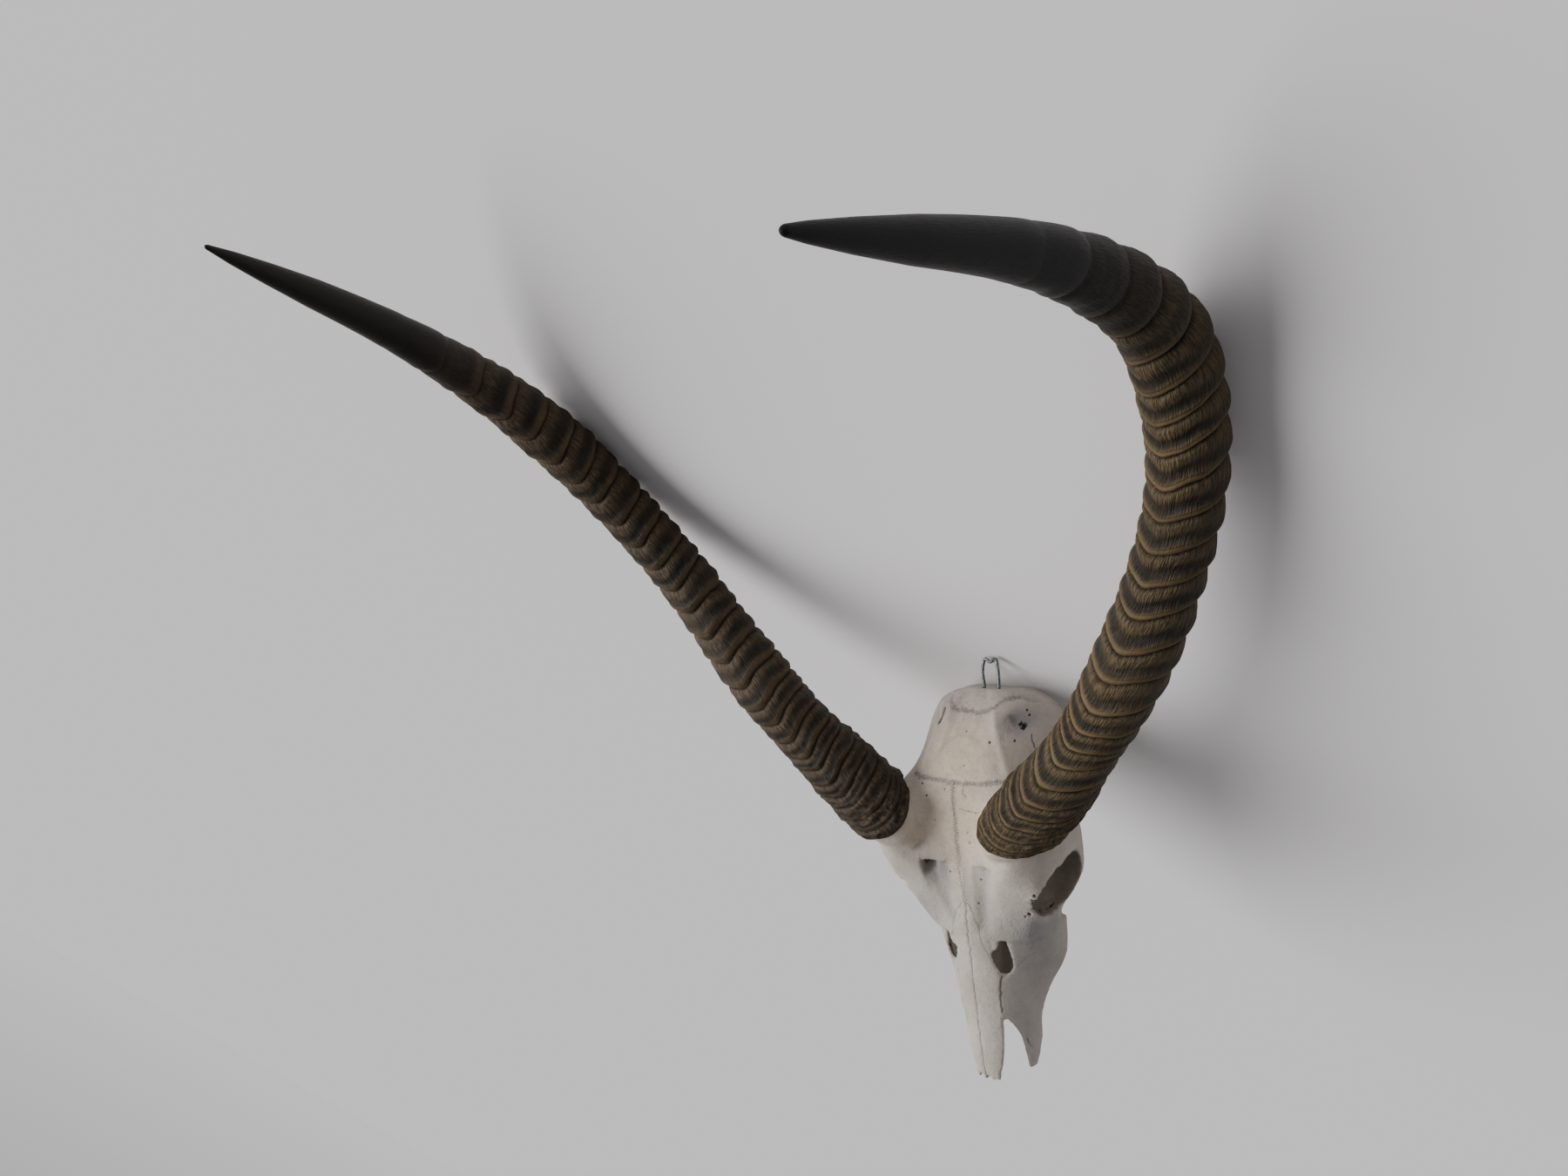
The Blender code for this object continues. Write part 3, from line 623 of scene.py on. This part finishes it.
def ball(centre, radii, ragged=0.0, seed=0):
    """An ellipsoid, with an uneven skin if ragged."""
    bm = bmesh.new()
    bmesh.ops.create_uvsphere(bm, u_segments=40, v_segments=24, radius=1.0)
    co = np.array([v.co for v in bm.verts])
    if ragged:
        co = co * (1 + ragged * noise(co * 10, 5.0, seed))[:, None]
    for v, c in zip(bm.verts, co):
        v.co = Vector(c * np.array(radii) + np.array(centre)) * MM
    mesh = bpy.data.meshes.new("ball")
    bm.to_mesh(mesh)
    bm.free()
    return link("ball", mesh)


def prism(outline, way, deep):
    """A straight-sided block: an outline carried along a direction, by deep to each side."""
    p, way = np.array(outline, float), np.array(way, float) / np.linalg.norm(way)
    flat = p - ((p - p.mean(0)) @ way)[:, None] * way
    n = len(p)
    faces = [tuple(range(n)), tuple(range(2 * n - 1, n - 1, -1))]
    faces += [(k, (k + 1) % n, (k + 1) % n + n, k + n) for k in range(n)]
    return new_object("block", np.concatenate([flat - way * deep, flat + way * deep]), faces)


def apply(made):
    """Turn a piece's modifiers into its mesh."""
    bpy.context.view_layer.update()
    solid = made.evaluated_get(bpy.context.evaluated_depsgraph_get())
    mesh = bpy.data.meshes.new_from_object(solid)
    made.modifiers.clear()
    old, made.data = made.data, mesh
    bpy.data.meshes.remove(old)


def combine(body, others, operation):
    """Join other pieces to a body or cut them out of it, and remove them."""
    for other in others:
        step = body.modifiers.new("cut", "BOOLEAN")
        step.operation, step.solver, step.object = operation, "EXACT", other
        apply(body)
        bpy.data.objects.remove(other, do_unlink=True)


def horn_envelope(path, side, rings, extra):
    """Plain rings along the horn's foot, as (distance, radius) rows."""
    curve = Curve(path)
    turn = np.linspace(0, 2 * math.pi, 64, endpoint=False)
    out = []
    for s, radius in rings:
        centre, along, e1, e2 = horn_axes(curve, s, side)
        lean = float(at(RING_SLOPE, max(s, 0.0))) * (radius + extra)
        out.append(centre + (e1 * np.cos(turn)[:, None] + e2 * np.sin(turn)[:, None]) * (radius + extra)
                   + along * (lean * np.cos(turn))[:, None])
    return tube("envelope", out)


def head():
    """The closed head from its half sections."""
    grid = np.array([[(x, y, z) for x, z in half] for y, half in HEAD_SECTIONS], float)
    full = np.concatenate([grid[:, :0:-1] * (-1, 1, 1), grid], axis=1)
    rows = spline(full, 6)
    rows = np.swapaxes(spline(np.swapaxes(rows, 0, 1), 5), 0, 1).copy()
    rows[:, 0, 2] = rows[:, -1, 2] = 0.0
    rows[:, :, 2] = np.maximum(rows[:, :, 2], 0.0)
    return tube("head", rows)


def rough_skull():
    """Head, horn stubs, snout, cheeks and nose wall in one piece, with all hollows and seats cut."""
    skull = head()
    for path, side in ((RIGHT_PATH, 1), (LEFT_PATH, -1)):
        combine(skull, [horn_envelope(path, side, STUB, 0.0)], "UNION")
    combine(skull, [ball(*h) for h in HOLLOWS], "DIFFERENCE")
    for side in (1, -1):
        combine(skull, [ball((c[0] * side, c[1], c[2]), r, 0.05, 3 + side) for c, r in SIDE_HOLLOWS],
                "DIFFERENCE")
    muzzle = plate([[(half * u, y, ridge - (ridge - margin) * u * u)
                     for u in (-1, -0.7, -0.35, 0, 0.35, 0.7, 1)]
                    for y, half, ridge, margin in NASAL_ROOF], NASAL_THICK)
    for side in (1, -1):
        rows = []
        for y, top, foot, swell in CHEEK:
            line = np.array([foot[0] - top[0], 0, foot[1] - top[1]], float)
            out = np.array([-line[2], 0, line[0]]) / np.linalg.norm(line)
            edge = np.array([top[0], y, top[1]])
            rows.append([(edge + line * u + out * swell * 4 * u * (1 - u)) * (side, 1, 1)
                         for u in (0, 0.25, 0.5, 0.75, 1)])
        combine(muzzle, [plate(rows, CHEEK_THICK)], "UNION")
    combine(muzzle, [ball(*n) for n in NOSE_NOTCHES], "DIFFERENCE")
    for side in GAP_SIDES:
        outline = [(x * side, y, z) for x, y, z in CHEEK_GAP]
        way = (GAP_WAY[0] * side, GAP_WAY[1], GAP_WAY[2])
        combine(muzzle, [prism(outline, way, GAP_DEEP)], "DIFFERENCE")
    combine(muzzle, [prism([(0, y, z) for y, z in SEPTUM], (1, 0, 0), SEPTUM_HALF),
                     prism([(x, FOOT_Y, z) for x, z in SEPTUM_FOOT], (0, 1, 0), FOOT_HALF)], "UNION")
    combine(skull, [muzzle], "UNION")
    for path, side in ((RIGHT_PATH, 1), (LEFT_PATH, -1)):
        table = (RIGHT_BASE if side > 0 else LEFT_BASE) + HORN_TAPER
        seat = [(s - 0.5, float(at(table, max(s, 0.0)))) for s in range(0, 80, 8)]
        combine(skull, [horn_envelope(path, side, seat, SEAT_GAP)], "DIFFERENCE")
    return skull


def to_line(xy, line):
    """Distance of each point from a line of (x, y) points, which side it is on, and how far along."""
    line = np.array(line, float)
    best = np.full(len(xy), 1e9)
    signed, along, done = np.zeros(len(xy)), np.zeros(len(xy)), 0.0
    for a, b in zip(line[:-1], line[1:]):
        d = b - a
        size = np.linalg.norm(d)
        t = np.clip((xy - a) @ d / size ** 2, 0, 1)
        gap = xy - a - t[:, None] * d
        dist = np.linalg.norm(gap, axis=1)
        near = dist < best
        best[near] = dist[near]
        signed[near] = (np.sign(d[0] * gap[:, 1] - d[1] * gap[:, 0]) * dist)[near]
        along[near] = (done + t * size)[near]
        done += size
    return best, signed, along


# sutures seen from above: the line, the reach of its zigzag, its period, its width, its darkness
SUTURES = [
    ([(-3, -2), (-2.5, -14), (-2, -26), (-2, -42), (-1, -55), (0, -71), (0, -85)], 2, 2.1, 0.45, 0.95),
    ([(0, -85), (-4, -88), (-9, -94), (-13, -104), (-15, -111), (-26, -124)], 0.5, 2.6, 0.36, 0.5),
    ([(0, -85), (3, -86), (5, -89), (8, -105), (9, -115), (12, -124)], 0.5, 2.6, 0.36, 0.5),
    ([(1, -86), (-1, -110), (-2, -144), (-2, -177), (-2, -211), (-1, -219)], 0.35, 7, 0.42, 0.85),
    ([(18, -140), (17, -148), (16.5, -156), (16, -166)], 0.22, 6, 0.55, 1),
    ([(27, -94), (25.5, -99), (26, -104)], 0.6, 2.6, 0.35, 0.2),
    ([(32, -97), (36, -106), (33, -113), (30, -124)], 0.6, 3.4, 0.35, 0.22),
    ([(46, -95), (41, -106), (36, -120)], 0.5, 4, 0.3, 0.2),
    ([(27, -132), (30, -130), (34, -124), (38, -122)], 0.6, 3, 0.4, 0.3),
    ([(-17, -140), (-17, -155), (-16.5, -166)], 0.3, 5, 0.45, 0.7),
    ([(-27, -94), (-30, -106), (-31, -118)], 0.5, 3, 0.35, 0.35),
]
# the two sutures that are broad knitted bands: the line and half its width
KNITS = [
    ([(-38, 2), (-35, 1), (-33, 0), (-19, 0.5), (-10, 0), (-3, -1), (1, -1), (17, 0), (31, 2),
      (38, 3)], 1.5),
    ([(-21, 56), (-17, 50), (-12, 48), (-7, 48), (2, 47), (10, 47), (16, 51), (23, 56), (29, 58),
      (38, 55)], 1.4),
]
# cracks and slits: the line, its width, its depth
CRACKS = [([(41, 33), (42.5, 28), (44, 24)], 0.35, 0.4), ([(2, -18), (10, -20), (18, -19)], 0.22, 0.2),
          ([(25, -189), (27, -202)], 0.35, 0.5), ([(-24, 48), (-24, 43), (-26, 38)], 1.1, 2.2),
          ([(-26, 60), (-21, 62)], 1.2, 2), ([(6, -3), (5, -7), (7, -10)], 0.3, 0.3),
          ([(-28.5, -56), (-27, -60), (-24.5, -57)], 0.3, 0)]
# small holes: x, y, radius, depth
PITS = [(20, 28, 0.8, 0.8), (34, 29, 0.7, 0.7), (0, 34, 0.8, 0.4), (-25, -12, 0.8, 0.8),
        (-30, -4, 0.8, 0.8), (-10, -6, 0.9, 0.6), (-10, -65, 0.7, 0.7), (15, -67, 0.7, 0.7),
        (36, 49, 0.7, 1), (37.5, 45.5, 0.7, 1.2), (35.5, 38, 1.8, 2.4), (33.5, 39.5, 1.3, 1.2),
        (9, -41, 0.6, 0.4), (11, -85, 0.6, 0.5), (-6, -97, 0.5, 0.5), (5, 12, 0.4, 0.4),
        (-12, 22, 0.4, 0.4), (8, -34, 0.4, 0.4), (-18, -28, 0.4, 0.4), (56, -72, 1.3, 1.2),
        (53, -76, 1, 1), (47, -88, 1.3, 1.2), (44, -90, 0.9, 1), (-26, -127, 1.3, 0.8)]
# soft folds of the surface seen from above: the line, its width, its height
FOLDS = [
    ([(18, 46), (25, 29), (31, 16), (35, 9)], 2.4, 1),
    ([(-28, 51), (-28, 35), (-30, 21), (-31, 7)], 1.7, 0.8),
    ([(-17, 49), (-16, 36), (-17, 25), (-18, 13)], 2, 0.6),
    ([(0, -60), (0, -85)], 2.6, 0.7),
    ([(4, 45), (6, 36), (3, 28)], 1.8, 0.35),
    ([(-6, 44), (-8, 33)], 1.8, 0.35),
    ([(20, -60), (17, -74), (14, -92), (12, -102)], 5.5, -2),
    ([(-21, -60), (-18, -74), (-14, -88), (-11, -96)], 5.5, -2),
    ([(-11, -60), (-9, -78)], 4, -0.9),
    ([(32, 42), (34.5, 40)], 6, -2.6),
    ([(-25, 46), (-26, 38)], 3, -1),
]
# lumps of the nape: x, y, width, height
BUMPS = [(-16, 56, 4.5, 1.5), (-4, 59, 5, 1.3), (11, 58, 5, 1.4), (4, 53, 4, 0.6), (-10, 63, 4, 1.2),
         (20, 62, 4, 0.8)]
BROW_EDGE = -57  # the hollows in front of the brow begin at this Y
# a faint arch across the crown
ARCH = [(-20, 13), (-15, 24), (-6, 31), (6, 30), (15, 25), (20, 18)]


def refine(made, near):
    """Halve every edge with both ends marked."""
    bm = bmesh.new()
    bm.from_mesh(made.data)
    bm.verts.ensure_lookup_table()
    edges = [e for e in bm.edges if near[e.verts[0].index] and near[e.verts[1].index]]
    bmesh.ops.subdivide_edges(bm, edges=edges, cuts=1, use_grid_fill=True, smooth=0.0)
    bmesh.ops.triangulate(bm, faces=[f for f in bm.faces if len(f.verts) > 4])
    bm.to_mesh(made.data)
    bm.free()


def normals(mesh):
    n = np.empty(len(mesh.vertices) * 3)
    mesh.vertex_normals.foreach_get("vector", n)
    return n.reshape(-1, 3)


def line_fields(co, facing):
    """Share of suture, knitted band and painted shade of holes and cracks at each point of the roof, and
    how deep it is cut.
    """
    xy = co[:, :2]
    suture, knit, dark, dig = (np.zeros(len(co)) for _ in range(4))
    for k, (line, reach, period, width, strong) in enumerate(SUTURES):
        dist, side, along = to_line(xy, line)
        own = row(along, k * 50.0)
        swing = reach * (2 * np.abs(((along + 0.6 * noise(own, 1.7, 1)) / period) % 1 * 2 - 1) - 1)
        swing = swing * (0.65 + 0.75 * noise(own, 2.6, 2)) + (0.3 + reach * 0.3) * noise(own, 5.0, 3)
        end = dist - np.abs(side) < 0.2
        suture = np.maximum(suture, strong * bump(side - swing, width) * end)
        if reach > 1:
            ahead = ramp(-xy[:, 1], -5, 0) * (1 - 0.6 * ramp(-xy[:, 1], 45, 65))
            knit = np.maximum(knit, 0.45 * bump(side, reach * 1.1) * end * ahead)
        dig = np.maximum(dig, 0.45 * strong * bump(side - swing, width * 1.2) * end)
    for k, (line, half) in enumerate(KNITS):
        dist, side, along = to_line(xy, line)
        wave = 0.5 * noise(row(along, k * 9.0), 4.0, 6)
        frayed = np.abs(side - wave) + 0.8 * noise(co, 1.1, 8)
        band = (1 - ramp(frayed, half * 0.8, half * 1.35)) * (dist - np.abs(side) < 0.2)
        knit = np.maximum(knit, band)
        dig = np.maximum(dig, band * (0.12 + 0.22 * noise(co, 0.8, 12)))
    # cracks and pits are cut in, and their darkness is painted shade
    for line, width, deep in CRACKS:
        dist, side, along = to_line(xy, line)
        wave = noise(row(along), 2.5, 4)
        cut = bump(side - 0.5 * wave, width * (0.8 + 0.3 * wave)) * (dist - np.abs(side) < 0.3)
        dark, dig = np.maximum(dark, 0.85 * cut), np.maximum(dig, deep * cut)
    for x, y, r, deep in PITS:
        d = np.hypot(xy[:, 0] - x, (xy[:, 1] - y) * 0.75) + 0.3 * r * noise(co, 1.2, 7)
        dark = np.maximum(dark, 0.9 * (1 - ramp(d, r * 0.45, r)))
        dig = np.maximum(dig, deep * (1 - ramp(d, r * 0.3, r * 1.15)))
    return [field * facing for field in (suture, knit, dark, dig)]


def reach_of(co, centre, radii, mirror=False):
    """How far each point lies from an ellipsoid's centre, 1 on its skin."""
    x, y, z = co.T
    place = (np.abs(x) if mirror else x, y, z)
    return np.sqrt(sum(((c - m) / r) ** 2 for c, m, r in zip(place, centre, radii)))


def below_brow(co):
    """How far each point lies in front of the ragged edge of the brow's hollows."""
    return BROW_EDGE - co[:, 1] + 0.9 * noise(co, 2.5, 14)


def hollow_shade_share(co, n, orbit):
    """Where the surface lies in the hollows of snout, braincase and eye sockets, which get painted shade.
    """
    x, y, z = co.T
    outward = (n[:, 0] * x + n[:, 2] * (z - 8)) / np.hypot(x, z - 8)
    muzzle = (1 - ramp(outward, -0.35, 0.05)) * ramp(-y, 84, 90)
    wall = (np.abs(x) < 2.6) * (np.abs(n[:, 0]) > 0.6) * (z < 56) + (np.abs(x) < 9) * (z < 15)
    wall = wall * ramp(-y, 84, 88) * (y > -159)
    hollow = np.minimum(reach_of(co, *HOLLOWS[0]), reach_of(co, *HOLLOWS[1]) + (y < -84))
    brain = 1 - ramp(hollow, 1.03, 1.10)
    socket = (1 - ramp(orbit, 1.0, 1.05)) * (1 - ramp(np.abs(x) + 0.35 * (z - 60), 60, 68))
    return np.clip(0.8 * (muzzle + wall) + brain + socket, 0, 1)


def paint(mesh, co, n, facing, lines):
    """Store what the bone finish reads: lines, painted shade of holes, cracks and hollows, tinted places,
    painted highlights and rough places.
    """
    suture, knit, dark = lines
    x, y, z = co.T
    xy, wide = co[:, :2], np.abs(x)
    orbit = reach_of(co, *SIDE_HOLLOWS[0], mirror=True)
    rim = bump(orbit - 1.12, 0.13) * ramp(z, 15, 40)

    # grey tone before the orbits and on the sides of the nose; painted shade in the channels, in the
    # hollows in front of the brow (heavier on the left) and in the hollow behind the crown
    lacrimal = bump(np.hypot((wide - 42) * 0.9, (y + 104) * 0.62), 14) * ramp(z, 3, 22)
    nose_side = ramp(wide, 17, 24) * (1 - ramp(y, -135, -112))
    channels = sum(bump(to_line(xy, line)[0], 7.0) for line, _, high in FOLDS if high < -1.9) * facing
    brow = (0.4 + 0.6 * (x < 0)) * ramp(-y, 57, 59) * (1 - ramp(-y, 60, 82))
    brow = brow * ramp(wide, 6, 12) * (1 - ramp(wide, 24, 30)) * facing
    parietal = bump(np.hypot(x - 33, y - 41), 8.0) * facing
    cool = lacrimal + 0.45 * nose_side + 0.6 * (channels * 0.7 + brow) + 0.9 * parietal

    # warm on crown and forehead, a painted highlight on the ridges and orbit rims, brown in spots and
    # along the arch
    warm = bump(np.hypot(x / 30, (y - 20) / 26), 1.0)
    warm = warm + 0.9 * bump(np.hypot((x - 6) / 30, (y + 30) / 34), 1.0)
    ridge = sum(bump(to_line(xy, line)[0], 1.6) for line, _, high in FOLDS if high >= 0.7) * facing
    spots = bump(np.hypot(x + 27, (y + 127) * 0.5), 4.0) + bump(np.hypot(x + 17, (y + 174) * 0.5), 3.0)
    arch = bump(to_line(xy, ARCH)[0], 1.5) * facing

    # painted shade in the slots under the brow, deep on the left and faint on the right
    under, out = below_brow(co), -x - 20
    left = ramp(under, 0.4, 1.6) * (1 - ramp(under, 2.5 + 0.8 * out, 5 + 1.2 * out + 2))
    left = left * ramp(-x, 18.5, 21.5) * (1 - ramp(-x, 27.5, 29.5)) * facing
    right = 0.45 * ramp(under, 0.4, 1.4) * (1 - ramp(under, 1.5, 4.0))
    right = right * ramp(x, 15, 18) * (1 - ramp(x, 24, 27)) * facing

    coarse = rim + 0.7 * bump(np.hypot(x, y - 60), 20) * facing + 0.5 * parietal
    for key, field in (("suture", suture), ("knit", knit), ("pit", dark + 0.6 * (left + right)),
                       ("inside", hollow_shade_share(co, n, orbit)), ("cool", cool), ("warm", warm * facing),
                       ("pale", 0.8 * ridge + 0.5 * rim), ("coarse", coarse),
                       ("brown", 0.9 * spots + 0.22 * arch)):
        store(mesh, key, np.clip(field, 0, 1))


def set_coords(mesh, co):
    mesh.vertices.foreach_set("co", (co * MM).ravel())
    mesh.update()


def build_skull():
    """The rough skull made even, then given its relief, its fine lines and its paint."""
    made = rough_skull()
    step = made.modifiers.new("even", "REMESH")
    step.mode, step.voxel_size, step.adaptivity = "VOXEL", VOXEL * MM, 0.0
    apply(made)
    x, y, z = coords(made.data).T
    joins = made.vertex_groups.new(name="joins")
    for k, weight in enumerate(bump(y + 106, 9.0) * ramp(np.abs(x), 28, 34) * ramp(z, 3, 10)):
        if weight > 0.02:
            joins.add([k], float(weight), "REPLACE")
    for group, rounds in (("joins", 30), ("", 3)):
        smooth = made.modifiers.new("soften", "SMOOTH")
        smooth.factor, smooth.iterations, smooth.vertex_group = 0.5, rounds, group
    apply(made)

    # folds, hollows, the lumpy nape and the rough rims of the orbits, before the fine lines
    co, n = coords(made.data), normals(made.data)
    (x, y, z), xy, up = co.T, co[:, :2], n[:, 2]
    wide = np.abs(x)
    facing = ramp(up, 0.15, 0.45) * ramp(z, 12, 22)
    move = 0.30 * fractal(co, 14.0, 3, 1) + 0.12 * fractal(co, 4.0, 2, 9)
    for line, width, high in FOLDS:
        move += high * bump(to_line(xy, line)[0], width) * facing
    for bump_x, bump_y, width, high in BUMPS:
        move += high * bump(np.hypot(x - bump_x, y - bump_y), width) * ramp(up, -0.1, 0.3)
    nape = bump(np.hypot(x + 2, (y - 60) * 1.2), 18.0) * ramp(up, -0.1, 0.3)
    move += nape * (0.3 + 1.3 * fractal(co, 5.0, 3, 4))
    below = below_brow(co)
    brow = ramp(below, 0, 2.0) * np.exp(-np.maximum(below, 0) / 13) * ramp(wide, 7, 13)
    move -= 2.6 * brow * (1 - ramp(wide, 23, 30)) * facing
    wedge = ramp(below, 0, 1.6) * np.exp(-np.maximum(below, 0) / 9)
    move -= 3.6 * (wedge * ramp(-x, 17, 20.5) * (1 - ramp(-x, 27, 29))) * facing
    rim = bump(reach_of(co, *SIDE_HOLLOWS[0], mirror=True) - 1.04, 0.10) * ramp(z, 8, 30)
    move += rim * (0.3 + 1.1 * fractal(co, 2.8, 2, 6))
    set_coords(made.data, co + n * move[:, None])

    for _ in range(2):
        co, n = coords(made.data), normals(made.data)
        xy = co[:, :2]
        near = np.zeros(len(co), bool)
        for line, reach, _, width, _ in SUTURES:
            near |= to_line(xy, line)[0] < reach * 1.1 + width * 1.5 + 0.3
        for line, width, _ in CRACKS:
            near |= to_line(xy, line)[0] < 1.2 + width
        for x, y, r, _ in PITS:
            near |= np.hypot(xy[:, 0] - x, xy[:, 1] - y) < r * 1.5 + 0.6
        refine(made, near & (n[:, 2] > 0.12) & (co[:, 2] > 12))

    co, n = coords(made.data), normals(made.data)
    facing = ramp(n[:, 2], 0.05, 0.3) * ramp(co[:, 2], 12, 20)
    suture, knit, dark, dig = line_fields(co, facing)
    co = co - n * dig[:, None]
    set_coords(made.data, co)
    made.data.shade_smooth()
    paint(made.data, co, n, facing, (suture, knit, dark))
    return made


def build_wire():
    """A round wire along its path, a little uneven in thickness."""
    curve = Curve(WIRE_PATH)
    s = np.linspace(0, curve.length, 150)
    centre, along = curve.point(s), curve.along(s)
    e1 = unit(np.cross(along, (0, 0, 1.0)))
    ring = circle(e1, np.cross(along, e1), WIRE_SIDES)
    radius = WIRE_RADIUS + 0.04 * noise(row(s), 4.0, 5)
    return tube("wire", centre[:, None] + ring * radius[:, None, None])


def build_object():
    olive, brown = horn_finish("olive_horn", *OLIVE), horn_finish("brown_horn", *BROWN)
    settle(build_horn(RIGHT_PATH, 1), "right_horn", olive, "right_horn_sheath")
    settle(build_horn(LEFT_PATH, -1), "left_horn", brown, "left_horn_sheath")
    settle(build_skull(), "skull", bone_finish("weathered_bone"), "skull_bone")
    settle(build_wire(), "hanging_wire", wire_finish("dull_steel"), "bent_wire")


# ---- stage ----
FLOOR_COLOUR, FLOOR_HALF = (0.80, 0.785, 0.80, 1.0), 40.0  # half the floor's width, m
SKY_COLOUR = (0.985, 0.965, 0.975, 1.0)
HORIZON, ZENITH, SKY_FALL = 0.78, 0.20, 0.35  # strengths, and the height where it evens out
# soft suns: name, direction they shine from in the skull's own frame, power, width in degrees, colour
SUNS = [("window", (-0.74, -0.10, 0.66), 4.75, 56, (1.0, 0.985, 0.965)),
        ("room", (0.75, 0.35, 0.75), 0.10, 90, (0.97, 0.98, 1.0))]
# the photograph's own camera, fitted in the skull's frame: where it stands, its right, up and back
CAMERA_PLACE, LENS, SENSOR = (422.9, 141.33, 772.71), 26.772, 36.0
CAMERA_AXES = ((0.773, -0.0122, -0.6343), (0.0057, 0.9999, -0.0122), (0.6344, 0.0058, 0.773))


def build_stage():
    """A pale floor under an even grey light that is brightest at the horizon."""
    mesh = bpy.data.meshes.new("floor")
    corners = [(-1, -1), (1, -1), (1, 1), (-1, 1)]
    mesh.from_pydata([(x * FLOOR_HALF, y * FLOOR_HALF, 0) for x, y in corners], [], [(0, 1, 2, 3)])
    floor = link("floor", mesh)
    f = Finish("pale_floor")
    mesh.materials.append(f.close(FLOOR_COLOUR, 1.0, **{"Specular IOR Level": 0.0}))

    world = bpy.data.worlds.new("soft_light")
    world.use_nodes = True
    tree = world.node_tree
    sky, spread, fall = (tree.nodes.new("ShaderNode" + k)
                         for k in ("TexCoord", "SeparateXYZ", "MapRange"))
    tree.links.new(sky.outputs["Generated"], spread.inputs[0])
    tree.links.new(spread.outputs["Z"], fall.inputs[0])
    for k, value in zip((1, 2, 3, 4), (0.0, SKY_FALL, HORIZON, ZENITH)):
        fall.inputs[k].default_value = value
    back = tree.nodes["Background"]
    back.inputs["Color"].default_value = SKY_COLOUR
    tree.links.new(fall.outputs[0], back.inputs["Strength"])
    bpy.context.scene.world = world


def sun(name, direction, power, angle, colour):
    """A wide soft sun that shines from a direction of the skull's own frame."""
    data = bpy.data.lights.new(name, "SUN")
    data.energy, data.angle, data.color = power, math.radians(angle), colour
    made = link(name, data)
    away = (STAND.to_3x3() @ Vector(direction)).normalized()
    made.rotation_mode = "QUATERNION"
    made.rotation_quaternion = away.to_track_quat("Z", "Y")


def build_camera():
    """The photograph's own place against the skull."""
    data = bpy.data.cameras.new("camera")
    data.sensor_width, data.lens = SENSOR, LENS
    data.clip_start, data.clip_end = 0.01, 200.0
    made = link("camera", data)
    axes = Matrix(CAMERA_AXES).transposed()
    made.matrix_world = STAND @ Matrix.Translation(Vector(CAMERA_PLACE) * MM) @ axes.to_4x4()
    bpy.context.scene.camera = made


build_object()
build_stage()
for light in SUNS:
    sun(*light)
build_camera()
